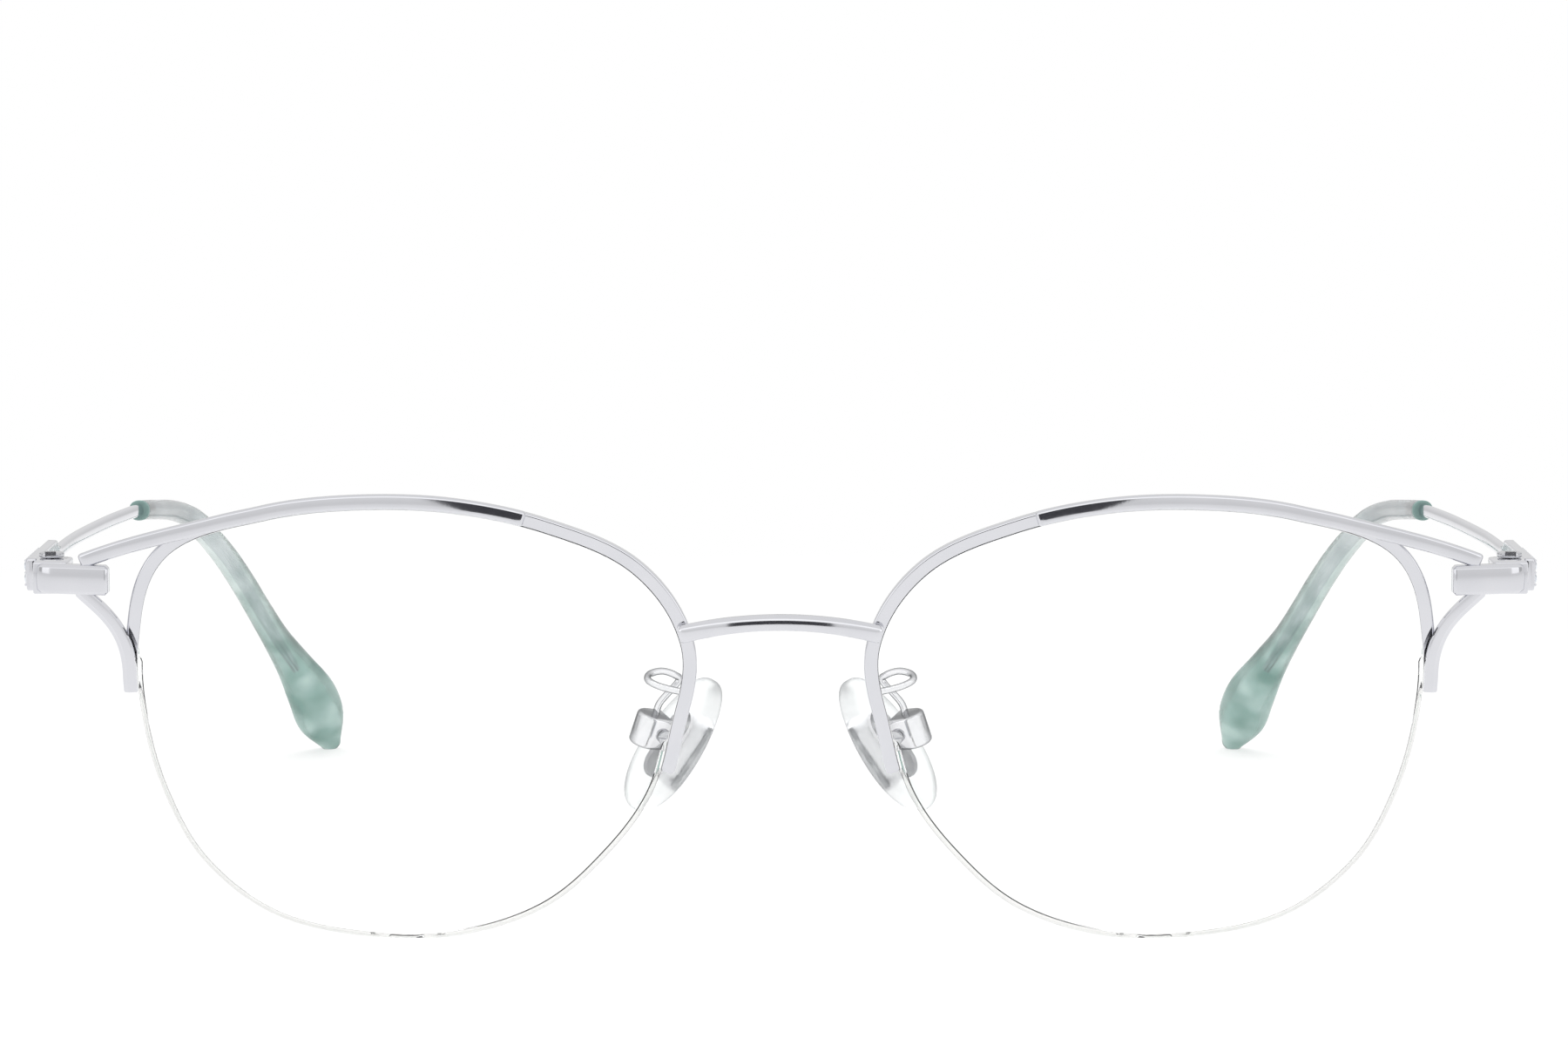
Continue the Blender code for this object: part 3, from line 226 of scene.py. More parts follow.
def skin(name, rows):
    """A closed skin: a grid is laid along and round a form's rows, welded, and filled at its ends."""
    stations, points = len(rows) - 1, len(rows[0])
    bpy.ops.object.select_all(action="DESELECT")
    bpy.ops.mesh.primitive_grid_add(x_subdivisions=stations, y_subdivisions=points, size=1)
    piece = bpy.context.object
    piece.name = name
    piece.data.name = name
    for corner in piece.data.vertices:
        i, j = round((corner.co.x + 0.5) * stations), round((corner.co.y + 0.5) * points) % points
        corner.co = rows[i][j]
    edit((bpy.ops.mesh.remove_doubles, {"threshold": 1e-7}),
         (bpy.ops.mesh.fill_holes, {"sides": 0}),
         (bpy.ops.mesh.select_all, {"action": "SELECT"}),
         (bpy.ops.mesh.normals_make_consistent, {"inside": False}))
    return piece


def bar(name, line, outline, end_round, spacing=0.5):
    """A bar with one outline along a flat (out, up) line, laid on the face, with rounded ends.

    The outline's points are (across, back), and across is positive away from the lens.
    """
    length = sum((two - one).length for one, two in zip(line, line[1:]))
    fine = even_spread(line, 800)
    stops = []
    for angle in (0, 18, 36, 54, 72):
        stops.append((end_round * (1 - math.cos(math.radians(angle))), 1 - math.sin(math.radians(angle))))
    count = max(int((length - 2 * end_round) / spacing), 2)
    middle = [(end_round + (length - 2 * end_round) * k / count, 0.0) for k in range(count + 1)]
    rings = stops + middle + [(length - d, s) for d, s in reversed(stops)]
    low = [min(p[k] for p in outline) for k in (0, 1)]
    high = [max(p[k] for p in outline) for k in (0, 1)]
    centre = [(a + b) / 2 for a, b in zip(low, high)]
    shrink = [min(2 * end_round / (b - a), 1.0) for a, b in zip(low, high)]
    rows = []
    for distance, inset in rings:
        place = distance / length * (len(fine) - 1)
        i = min(int(place), len(fine) - 2)
        point = fine[i].lerp(fine[i + 1], place - i)
        before, after = fine[max(i - 3, 0)], fine[min(i + 4, len(fine) - 1)]
        along = (after - before).normalized()
        across = Vector((along.y, -along.x))
        row = []
        for a, b in outline:
            a = centre[0] + (a - centre[0]) * (1 - inset * shrink[0])
            b = centre[1] + (b - centre[1]) * (1 - inset * shrink[1])
            at = point + across * a
            row.append(spot(at.x, b + face_back(at.x, at.y), at.y))
        rows.append(row)
    return skin(name, rows)


def colour(code):
    """A six-figure sRGB hex colour as linear numbers."""
    parts = [int(code[i:i + 2], 16) / 255 for i in (0, 2, 4)]
    return (*[c / 12.92 if c <= 0.04045 else ((c + 0.055) / 1.055) ** 2.4 for c in parts], 1.0)


def add(tree, kind, inputs, **settings):
    """Add a node with its settings. An input is a value or a (node, output) pair."""
    made = tree.nodes.new(kind)
    for name, value in settings.items():
        setattr(made, name, value)
    for name, value in inputs.items():
        if isinstance(value, tuple) and isinstance(value[0], bpy.types.Node):
            tree.links.new(value[0].outputs[value[1]], made.inputs[name])
        else:
            made.inputs[name].default_value = value
    return made


# Where a Mix node of colours takes its share and its two colours, and gives the mixture.
SHARE, FIRST, SECOND, MIXTURE = 0, 6, 7, 2


def finish(name, sockets):
    """A new material: itself, its tree, its shader with some sockets set, and its object coordinates."""
    made = bpy.data.materials.new(name)
    made.use_nodes = True
    tree = made.node_tree
    shader = tree.nodes["Principled BSDF"]
    for socket, value in sockets.items():
        shader.inputs[socket].default_value = value
    return made, tree, shader, add(tree, "ShaderNodeTexCoord", {})


def grained(name, per_mm, matt, shades, sockets, detail=2.0, span=(0.0, 1.0), edge=None):
    """A finish whose roughness and colour follow one noise, with so many patches to the millimetre.

    With no matt range its roughness is the socket's. An edge is a painted shade: a colour that takes
    over where the surface is looked along, and the two facings between which it does.
    """
    made, tree, shader, where = finish(name, sockets)
    grain = add(tree, "ShaderNodeTexNoise", {"Vector": (where, "Object"), "Scale": per_mm / MM,
                                             "Detail": detail})
    if matt:
        sheen = add(tree, "ShaderNodeMapRange", {"Value": (grain, "Fac"), "From Min": span[0],
                                                 "From Max": span[1], "To Min": matt[0], "To Max": matt[1]})
        tree.links.new(sheen.outputs["Result"], shader.inputs["Roughness"])
    tint = add(tree, "ShaderNodeMix", {SHARE: (grain, "Fac"), FIRST: colour(shades[0]),
                                       SECOND: colour(shades[1])}, data_type="RGBA")
    if edge:
        # Painted shade: the edge colour takes over where the surface is seen edge-on.
        facing = add(tree, "ShaderNodeLayerWeight", {"Blend": 0.5})
        share = add(tree, "ShaderNodeMapRange", {"Value": (facing, "Facing"),
                                                 "From Min": edge[1], "From Max": edge[2]})
        tint = add(tree, "ShaderNodeMix", {SHARE: (share, "Result"), FIRST: (tint, MIXTURE),
                                           SECOND: colour(edge[0])}, data_type="RGBA")
    tree.links.new(tint.outputs[MIXTURE], shader.inputs["Base Color"])
    return made, tree, shader, where


# Rhodium-plated nickel alloy, buffed: a near-white mirror. The buffing leaves a very faint
# cloud in its roughness, some 4 mm across, and hairlines that only break up a highlight's
# edge. These are drawn 0.4 mm apart, coarser than real ones, so that they show at all.
polished_rhodium, tree, shader, where = grained(
    "polished rhodium plate", 0.22, (0.05, 0.11), ("DFDFE3", "D6D7DC"), {"Metallic": 1.0},
    detail=3.0, span=(0.3, 0.7))
hairs = add(tree, "ShaderNodeTexNoise", {"Vector": (where, "Object"), "Scale": 2.6 / MM, "Detail": 2.0})
buffed = add(tree, "ShaderNodeBump", {"Height": (hairs, "Fac"), "Strength": 0.04, "Distance": 0.02 * MM})
tree.links.new(buffed.outputs["Normal"], shader.inputs["Normal"])


def fit(piece, body, slot, material, *nodes, smooth=None, shadow=True):
    """Fix a right-hand piece to its body in place of its CAD nodes, with its mirror image."""
    bpy.ops.object.select_all(action="DESELECT")
    bpy.context.view_layer.objects.active = piece
    piece.select_set(True)
    bpy.ops.object.transform_apply(location=True, rotation=True, scale=True)
    if smooth is None:
        bpy.ops.object.shade_smooth()
    else:
        bpy.ops.object.shade_smooth_by_angle(angle=math.radians(smooth))
    piece.data.materials.clear()
    piece.data.materials.append(material)
    base = piece.name
    piece.name = piece.data.name = "right_" + base
    other = piece.copy()
    other.data = piece.data.copy()
    other.name = other.data.name = "left_" + base
    bpy.context.scene.collection.objects.link(other)
    other.data.transform(Matrix.Diagonal((-1.0, 1.0, 1.0, 1.0)))
    other.data.flip_normals()
    for side, made in (("right_", piece), ("left_", other)):
        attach(made, "front" if body == "front" else side + body)
        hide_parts(*[side + node for node in nodes])
        made.visible_shadow = shadow


rim_start = edge_angle(LENS_MIDDLE_UP + RIM_OUTER_END, -60, 30)
rim_end = edge_angle(LENS_MIDDLE_UP + RIM_NOSE_END, 150, 240)
rim_line = along_edge(rim_start, rim_end, 0.0, 600, 400)
rim_low, rim_high = -0.06, LENS_SEAT_GAP + RIM_WIDTH - RIM_SLIMMING
rim_front, rim_back = LENS_THICKNESS / 2 - RIM_DEPTH / 2, LENS_THICKNESS / 2 + RIM_DEPTH / 2
inner = rim_low + RIM_INNER_ROUND
face = rim_front + RIM_FACE_LEAN
rim_outline = arc(rim_high - RIM_ROUND, rim_front + RIM_ROUND, RIM_ROUND, -90, 6)
rim_outline += arc(rim_high - RIM_BACK_ROUND, rim_back - RIM_BACK_ROUND, RIM_BACK_ROUND, 0, 6)
rim_outline += arc(inner, rim_back - RIM_INNER_ROUND, RIM_INNER_ROUND, 90, 6)
groove = RIM_GROOVE_WIDTH / 2
groove_side = [(0.0, groove + RIM_GROOVE_BREAK), (RIM_GROOVE_BREAK, groove),
               (RIM_GROOVE_DEPTH, groove - RIM_GROOVE_BREAK)]
for a, b in groove_side + [(a, -b) for a, b in reversed(groove_side)]:
    rim_outline.append((rim_low + a, LENS_THICKNESS / 2 + b))
rim_outline += arc(inner, face + RIM_INNER_ROUND, RIM_INNER_ROUND, 180, 6)
for t in (0.08, 0.92):
    rim_outline.append((inner + (rim_high - RIM_ROUND - inner) * t, rim_front + RIM_FACE_LEAN * (1 - t)))
rim = bar("rim_wire", rim_line, rim_outline, RIM_END_ROUND)
fit(rim, "front", "polished_metal", polished_rhodium, "rim", smooth=50)


# The bridge is one forged bar, arched over the nose and bowed a little forwards, soldered to
# the front of both rims. Its front is crowned and its long edges are broken, which gives the
# white line.

BRIDGE_HEIGHT = 1.7
BRIDGE_DEPTH = 1.4
BRIDGE_END_RISE = 8.8
BRIDGE_RISE = 1.3
BRIDGE_OVERLAP = 1.2
BRIDGE_BOW = 0.7
BRIDGE_STEPS = 60
# How much of its height and depth it keeps at its middle and where its ends close.
BRIDGE_MIDDLE_HEIGHT = 0.88
BRIDGE_END_HEIGHT = 0.62
BRIDGE_END_DEPTH = 0.75
BRIDGE_THINNING = 0.28
BRIDGE_CLOSING = 0.06
SOLDER_GAP = 0.04

bridge_up = LENS_MIDDLE_UP + BRIDGE_END_RISE
bridge_join = edge_angle(bridge_up, 200, 120)
bridge_half = abs(off_edge(bridge_join, RIM_WIDTH - BRIDGE_OVERLAP).x)
bridge_front = rim_front - SOLDER_GAP - BRIDGE_DEPTH + face_back(bridge_half, bridge_up)
top = BRIDGE_HEIGHT / 2
bridge_outline = [(0.2 - top, 0.0), (-0.1, 0.0), (0.05, 0.005), (0.18, 0.016), (0.3, 0.034), (0.4, 0.06),
                  (0.5, 0.107), (0.58, 0.17), (0.6, 0.19), (0.83, 0.46), (top, 0.5), (top, 0.55),
                  (top, BRIDGE_DEPTH - 0.3), (top - 0.1, BRIDGE_DEPTH - 0.1), (top - 0.3, BRIDGE_DEPTH),
                  (0.3 - top, BRIDGE_DEPTH), (0.1 - top, BRIDGE_DEPTH - 0.1), (-top, BRIDGE_DEPTH - 0.3),
                  (-top, 0.25), (0.06 - top, 0.08), (0.14 - top, 0.02)]
bridge_rows = []
for k in range(BRIDGE_STEPS + 1):
    share = -math.cos(math.pi * k / BRIDGE_STEPS)
    ends = 1 - abs(share)
    closing = math.sqrt(max(1 - (1 - min(ends / BRIDGE_CLOSING, 1.0)) ** 2, 0.0))
    slope = math.atan2(-2 * BRIDGE_RISE * share, bridge_half)
    tall = ((BRIDGE_END_HEIGHT + (1 - BRIDGE_END_HEIGHT) * closing)
            * (BRIDGE_MIDDLE_HEIGHT + (1 - BRIDGE_MIDDLE_HEIGHT) * share * share))
    thick = (BRIDGE_END_DEPTH + (1 - BRIDGE_END_DEPTH) * closing) * (1 - BRIDGE_THINNING * share * share)
    row = []
    for across, back in bridge_outline:
        across = across * tall
        back = BRIDGE_DEPTH - (BRIDGE_DEPTH - back) * thick
        x = bridge_half * share - across * math.sin(slope)
        z = bridge_up + BRIDGE_RISE * (1 - share * share) + across * math.cos(slope)
        row.append(spot(-x, bridge_front + back - BRIDGE_BOW * (1 - share * share), z))
    bridge_rows.append(row)
bridge = skin("bridge_bar", bridge_rows)
bpy.ops.object.shade_smooth_by_angle(angle=math.radians(28))
bridge.data.materials.append(polished_rhodium)
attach(bridge, "front")
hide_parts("bridge")


# A brow bar is wider than the rim, of the same metal, and is soldered along the front of the
# rim's top. At its outer side it leaves the rim in a sweep and lies on top of the end piece.

BROW_WIDTH = 1.42
BROW_DEPTH = 1.1
BROW_ROUND = 0.26
BROW_CROWN = 0.05
BROW_END_ROUND = 0.3
BROW_NOSE_ANGLE = math.radians(115)
BROW_BRANCH_ANGLE = math.radians(52)
BROW_PULL = 5.0
BROW_DROP = math.radians(22)
BROW_REACH = 2.8
BROW_END_RISE = 0.25
BLOCK_HEIGHT = 2.8
BLOCK_LOW = BLOCK_MIDDLE_HEIGHT - BLOCK_HEIGHT / 2
BLOCK_HIGH = BLOCK_LOW + BLOCK_HEIGHT


def rounded(low, high, front, back, radius, crown=0.0):
    """A rectangle with round corners and a crowned front, as (across, back) points."""
    middle, half = (low + high) / 2, (high - low) / 2 - radius
    points = []
    for across, behind, start in ((high - radius, front + radius, -90), (high - radius, back - radius, 0),
                                  (low + radius, back - radius, 90), (low + radius, front + radius, 180)):
        points += arc(across, behind, radius, start, 5)
    for t in (-0.93, -0.5, 0.0, 0.5, 0.93):
        points.append((middle + half * t, front))
    out = []
    for a, b in points:
        t = min(abs(a - middle) / ((high - low) / 2), 1.0)
        out.append((a, b - crown * (1 - t * t) if b < (front + back) / 2 else b))
    return out


def bezier(start, pull_start, pull_end, end, steps):
    """Points along a curve that is pulled towards two points, with both its ends."""
    points = []
    for k in range(steps + 1):
        t = k / steps
        s = 1 - t
        points.append(start * s ** 3 + pull_start * 3 * s * s * t + pull_end * 3 * s * t * t + end * t ** 3)
    return points


brow_line = along_edge(BROW_NOSE_ANGLE, BROW_BRANCH_ANGLE, BROW_WIDTH / 2 + LENS_SEAT_GAP, 300, 200)
heading = (brow_line[-1] - brow_line[-2]).normalized()
brow_end = Vector((BLOCK_IN_END + BROW_REACH, BLOCK_HIGH + BROW_END_RISE))
brow_pull = Vector((-math.cos(BROW_DROP), math.sin(BROW_DROP))) * BROW_PULL
brow_sweep = bezier(brow_line[-1], brow_line[-1] + heading * BROW_PULL, brow_end + brow_pull, brow_end, 100)
brow_line += brow_sweep[1:]
brow_front = rim_front - SOLDER_GAP - BROW_DEPTH
brow_outline = rounded(-BROW_WIDTH / 2, BROW_WIDTH / 2, brow_front, brow_front + BROW_DEPTH,
                       BROW_ROUND, BROW_CROWN)
brow = bar("brow_sweep", brow_line, brow_outline, BROW_END_ROUND)
fit(brow, "front", "polished_metal", polished_rhodium, "brow_bar", smooth=50)


# An end piece is a thick stamped block with a bevel all round, which carries the hinge. It is
# flat in front, turns a tight corner and runs back to the temple, whose end it meets when the
# glasses are open.

BLOCK_THICKNESS = 1.9
BLOCK_PROUD = 0.5
BLOCK_CORNER = 2.9
BLOCK_CROWN = 0.1
BLOCK_BEVEL = 0.28
BLOCK_SOFT_EDGE = 0.05
# What lies this close behind the front, or this close inside the turned corner, is crowned.
BLOCK_FRONT_BAND = 0.6
BLOCK_CORNER_BAND = 0.1
PLATE_THICKNESS = 1.0
OPEN_STOP_GAP = 0.05
TEMPLE_REACH = 129.0
TEMPLE_START = HINGE_BACK - 0.008 * TEMPLE_REACH


def slab(name, corners, height, steps=1):
    """An upright slab: a circle's corners are set to an outline in metres, filled and extruded."""
    bpy.ops.object.select_all(action="DESELECT")
    bpy.ops.mesh.primitive_circle_add(vertices=len(corners), fill_type="NGON")
    piece = bpy.context.object
    piece.name = name
    for corner, place in zip(piece.data.vertices, corners):
        corner.co = place
    rise = {"TRANSFORM_OT_translate": {"value": (0.0, 0.0, height / steps * MM)}}
    edit(*[(bpy.ops.mesh.extrude_region_move, rise)] * steps,
         (bpy.ops.mesh.select_all, {"action": "SELECT"}),
         (bpy.ops.mesh.normals_make_consistent, {"inside": False}))
    return piece


def apply(piece, kind, **settings):
    """Add a modifier to a piece and apply it."""
    change = piece.modifiers.new(kind.lower(), kind)
    for name, value in settings.items():
        setattr(change, name, value)
    bpy.context.view_layer.objects.active = piece
    bpy.ops.object.modifier_apply(modifier=change.name)


def bevel(piece, width, segments, degrees=30):
    """Bevel the edges that are sharper than an angle."""
    apply(piece, "BEVEL", width=width * MM, segments=segments, limit_method="ANGLE",
          angle_limit=math.radians(degrees), harden_normals=False)


def cut(piece, *tools):
    """Cut one or more closed tools out of a piece."""
    for tool in tools:
        apply(piece, "BOOLEAN", object=tool, operation="DIFFERENCE", solver="EXACT")
        bpy.data.objects.remove(tool, do_unlink=True)


block_front = brow_front - BLOCK_PROUD
corner_out = BLOCK_OUT_END - BLOCK_CORNER
block_outs = [BLOCK_IN_END + (corner_out - BLOCK_IN_END) * k / 8 for k in range(9)]
block_outline = [Vector((x, block_front + face_back(x, BLOCK_MIDDLE_HEIGHT))) for x in block_outs]
along = (block_outline[-1] - block_outline[-2]).normalized()
turn = block_outline[-1] + Vector((-along.y, along.x)) * BLOCK_CORNER
first = math.atan2(-along.x, along.y)
for k in range(1, 17):
    angle = first * (1 - k / 16)
    block_outline.append(turn + Vector((math.cos(angle), math.sin(angle))) * BLOCK_CORNER)
block_side = block_outline[-1].x
block_outline.append(Vector((block_side, TEMPLE_START - OPEN_STOP_GAP)))
block_inside = block_side - PLATE_THICKNESS
block_outline.append(Vector((block_inside, TEMPLE_START - OPEN_STOP_GAP)))
for x in [block_inside] + [x for x in reversed(block_outs) if x < block_inside]:
    block_outline.append(Vector((x, block_front + BLOCK_THICKNESS + face_back(x, BLOCK_MIDDLE_HEIGHT))))
block = slab("end_block", [spot(out, back, BLOCK_LOW) for out, back in block_outline], BLOCK_HEIGHT, steps=8)
# The front and the outer side are crowned: they are pushed out in the middle of their height.
for corner in block.data.vertices:
    share = 2 * ((corner.co.z - ORIGIN.z) / MM - BLOCK_MIDDLE_HEIGHT) / BLOCK_HEIGHT
    out, back = -(corner.co.x - ORIGIN.x) / MM, (corner.co.y - ORIGIN.y) / MM
    if back < block_front + BLOCK_FRONT_BAND + face_back(out, BLOCK_MIDDLE_HEIGHT) and out < turn.x:
        corner.co.y -= BLOCK_CROWN * (1 - share * share) * MM
    elif out > turn.x and (Vector((out, back)) - turn).length > BLOCK_CORNER - BLOCK_CORNER_BAND:
        push = (Vector((out, back)) - turn).normalized() if back < turn.y else Vector((1.0, 0.0))
        corner.co += Vector((-push.x, push.y, 0.0)) * BLOCK_CROWN * (1 - share * share) * MM
bevel(block, BLOCK_BEVEL, 1, 40)
bevel(block, BLOCK_SOFT_EDGE, 2, 25)
fit(block, "front", "polished_metal", polished_rhodium, "end_piece", smooth=32)


# A lower arm is a short curved bar, soldered under the end piece and to the rim's lower outer
# end. Two facets meet in a ridge along its front.

ARM_WIDTH = 1.4
ARM_DEPTH = 1.0
ARM_OUTSET = -0.05
ARM_BRANCH_RISE = 1.7
ARM_REACH = 2.9
ARM_END_RISE = 0.35
ARM_DROP = math.radians(42)
ARM_START_PULL = 2.8
ARM_END_PULL = 4.6
ARM_END_ROUND = 0.2

arm_join = edge_angle(LENS_MIDDLE_UP + RIM_OUTER_END + ARM_BRANCH_RISE, math.degrees(rim_start), 30)
arm_along = along_edge(arm_join, rim_start, ARM_WIDTH / 2 + ARM_OUTSET, 100, 60)
heading = (arm_along[1] - arm_along[0]).normalized()
arm_start = Vector((BLOCK_IN_END + ARM_REACH, BLOCK_LOW + ARM_END_RISE))
arm_down = Vector((-math.cos(ARM_DROP), -math.sin(ARM_DROP))) * ARM_START_PULL
arm_line = bezier(arm_start, arm_start + arm_down, arm_along[0] - heading * ARM_END_PULL, arm_along[0], 60)
arm_line += arm_along[1:]
arm_front = rim_front - SOLDER_GAP - ARM_DEPTH
side = ARM_WIDTH / 2
# Along the front from the lens's side, and round the back, whose wall by the lens is undercut.
arm_outline = [(0.08 - side, 0.3), (0.12 - side, 0.26), (-0.36, 0.14), (-0.34, 0.12), (-0.24, 0.0),
               (-0.18, 0.0), (0.0, 0.0), (side - 0.26, 0.02), (side - 0.2, 0.03), (side - 0.06, 0.08),
               (side, 0.2), (side, 0.26), (side, ARM_DEPTH - 0.2), (side - 0.2, ARM_DEPTH),
               (0.36 - side, ARM_DEPTH), (0.05 - side, 0.56), (-side, 0.45), (-side + 0.03, 0.36)]
arm = bar("lower_arm_bar", arm_line, [(a, arm_front + b) for a, b in arm_outline], ARM_END_ROUND)
fit(arm, "front", "polished_metal", polished_rhodium, "lower_arm", smooth=24)


# A hinge is milled from the same alloy: two knuckles are soldered behind the end piece, and
# one stands on a leaf inside the temple. A slotted cheese-head screw of turned stainless
# steel is the pin.

HINGE_LENGTH = 4.2
HINGE_WIDTH = 3.2
HINGE_RISE = 0.12
HINGE_CORNER = 0.6
HINGE_EDGE = 0.18
KNUCKLE_RADIUS = 1.25
KNUCKLE_HEIGHT = 1.3
KNUCKLE_PLAY = 0.05
LEAF_THICKNESS = 0.85
LEAF_START = 1.4
LEAF_END = 6.0
LEAF_EDGE = 0.08
SCREW_RADIUS = 0.6
SCREW_PLAY = 0.05
SCREW_OVERLAP = 0.1
SCREW_HEAD_RADIUS = 1.2
SCREW_HEAD_HEIGHT = 0.5
SCREW_HEAD_EDGE = 0.14
PIN_EDGE = 0.1
SCREW_SLOT_HALF = 0.52
SCREW_SLOT_AHEAD = 2.0
SCREW_SLOT_BEHIND = 0.3
SCREW_SLOT_DEPTH = 0.38
SCREW_SLOT_TURN = math.radians(9)
PLATE_OUT = HINGE_OUT + 1.82
# How far a tool reaches past what it cuts.
TOOL_OVERRUN = 1.0

hinge_low = BLOCK_LOW - HINGE_RISE
hinge_high = BLOCK_HIGH + HINGE_RISE
knuckle_low = BLOCK_MIDDLE_HEIGHT - KNUCKLE_HEIGHT / 2
knuckle_high = knuckle_low + KNUCKLE_HEIGHT


def knuckle_round(last, steps):
    """Corners of a knuckle's round, from its outer side to an angle in degrees."""
    angles = [math.radians(last * k / steps) for k in range(steps + 1)]
    return [(HINGE_OUT + KNUCKLE_RADIUS * math.cos(a), HINGE_BACK + KNUCKLE_RADIUS * math.sin(a))
            for a in angles]


def drum(name, radius, low, high):
    """An upright round tool or blank on the hinge's axis."""
    bpy.ops.object.select_all(action="DESELECT")
    bpy.ops.mesh.primitive_cylinder_add(vertices=48, radius=radius * MM, depth=(high - low) * MM,
                                        location=spot(HINGE_OUT, HINGE_BACK, (low + high) / 2))
    piece = bpy.context.object
    piece.name = name
    return piece


def brick(low, high):
    """A square tool between two corners, given as out, back and up."""
    bpy.ops.object.select_all(action="DESELECT")
    one, two = spot(*low), spot(*high)
    bpy.ops.mesh.primitive_cube_add(size=1, location=(one + two) / 2)
    piece = bpy.context.object
    piece.scale = [abs(b - a) for a, b in zip(one, two)]
    return piece


def join(piece, *others):
    """Join other pieces to a piece."""
    bpy.ops.object.select_all(action="DESELECT")
    for made in (piece, *others):
        made.select_set(True)
    bpy.context.view_layer.objects.active = piece
    bpy.ops.object.join()


inner = HINGE_OUT + KNUCKLE_RADIUS - HINGE_WIDTH
start = HINGE_BACK - HINGE_LENGTH
rear = HINGE_BACK + KNUCKLE_RADIUS
outline = [(HINGE_OUT + KNUCKLE_RADIUS, start)] + knuckle_round(90, 12)
outline += [(inner + HINGE_CORNER, rear), (inner, rear - HINGE_CORNER), (inner, start)]
knuckles = slab("hinge_knuckles", [spot(out, back, hinge_low) for out, back in outline],
                hinge_high - hinge_low)
bevel(knuckles, HINGE_EDGE, 3)
cut(knuckles,
    brick((inner - TOOL_OVERRUN, HINGE_BACK - KNUCKLE_RADIUS - 0.1, knuckle_low - KNUCKLE_PLAY),
          (HINGE_OUT + 3.0, rear + TOOL_OVERRUN, knuckle_high + KNUCKLE_PLAY)),
    drum("bore", SCREW_RADIUS + SCREW_PLAY, hinge_low - TOOL_OVERRUN, hinge_high + TOOL_OVERRUN))
fit(knuckles, "front", "polished_metal", polished_rhodium, "front_hinge", smooth=35)

leaf_face = PLATE_OUT - PLATE_THICKNESS / 2 - SOLDER_GAP
leaf_inner = leaf_face - LEAF_THICKNESS
outline = knuckle_round(-250, 40)
outline += [(leaf_inner, HINGE_BACK + LEAF_START), (leaf_inner, HINGE_BACK + LEAF_END),
            (leaf_face, HINGE_BACK + LEAF_END), (leaf_face, HINGE_BACK + SOLDER_GAP)]
leaf = slab("hinge_leaf", [spot(out, back, knuckle_low) for out, back in outline],
            knuckle_high - knuckle_low)
bevel(leaf, LEAF_EDGE, 2)
cut(leaf, drum("bore", SCREW_RADIUS + SCREW_PLAY, knuckle_low - TOOL_OVERRUN, knuckle_high + TOOL_OVERRUN))
fit(leaf, "temple", "polished_metal", polished_rhodium, "temple_hinge", smooth=35)

# Stainless steel, turned: a soft sheen, a little greyer than the plate, with tool marks
# 0.25 mm apart. Real ones are finer and would not show.
turned_steel = grained("turned stainless steel", 4.0, (0.08, 0.2), ("D2D3D6", "C2C3C7"),
                       {"Metallic": 1.0})[0]

seat = hinge_high + SCREW_PLAY
top = seat + SCREW_HEAD_HEIGHT
screw = drum("hinge_pin", SCREW_HEAD_RADIUS, seat, top)
bevel(screw, SCREW_HEAD_EDGE, 3)
pin = drum("pin", SCREW_RADIUS, hinge_low, seat + SCREW_OVERLAP)
bevel(pin, PIN_EDGE, 2)
slot = brick((HINGE_OUT - SCREW_SLOT_HALF, HINGE_BACK - SCREW_SLOT_AHEAD, top - SCREW_SLOT_DEPTH),
             (HINGE_OUT + SCREW_SLOT_HALF, HINGE_BACK + SCREW_SLOT_BEHIND, top + TOOL_OVERRUN))
slot.rotation_euler = (-SCREW_SLOT_TURN, 0.0, SCREW_SLOT_TURN)
cut(screw, slot)
join(screw, pin)
fit(screw, "front", "steel", turned_steel, "hinge_screw", smooth=35)


# A lens is clear allyl resin, cast and ground to a curve. Its edge's corners are broken. A
# groove is cut in the edge where the cord runs, and the rest is a V that stands in the rim.

LENS_GROOVE_WIDTH = 0.7
LENS_GROOVE_DEPTH = 0.58
LENS_GROOVE_BREAK = 0.04
LENS_GROOVE_ROUND = (0.15, 0.1)
LENS_CHAMFER = 0.2
LENS_CHAMFER_CROWN = 0.06
LENS_V_HEIGHT = 0.3
# Under the rim the edge's corners keep this share of their chamfer.
LENS_V_CHAMFER = 0.2
# The groove runs on under the rim for an angle, and fades out over another.
LENS_GROOVE_RUN_ON = 0.13
LENS_GROOVE_FADE = 0.07
# From one direction on, and fully after a span, both in degrees, the groove's floor gets wider
# at each side, and its corners get wider and deeper.
LENS_KEEN_START = 240
LENS_KEEN_SPAN = 60
LENS_KEEN_FLOOR = 0.11
LENS_KEEN_CORNER = 0.02
LENS_KEEN_DEPTH = 0.08
LENS_SIDES = 240
LENS_SHARES = (0.0, 0.1, 0.25, 0.4, 0.55, 0.7, 0.85, 0.95, 0.99)

middle = LENS_THICKNESS / 2
side = LENS_GROOVE_WIDTH / 2
floor_corner = LENS_GROOVE_ROUND[1] - LENS_GROOVE_DEPTH
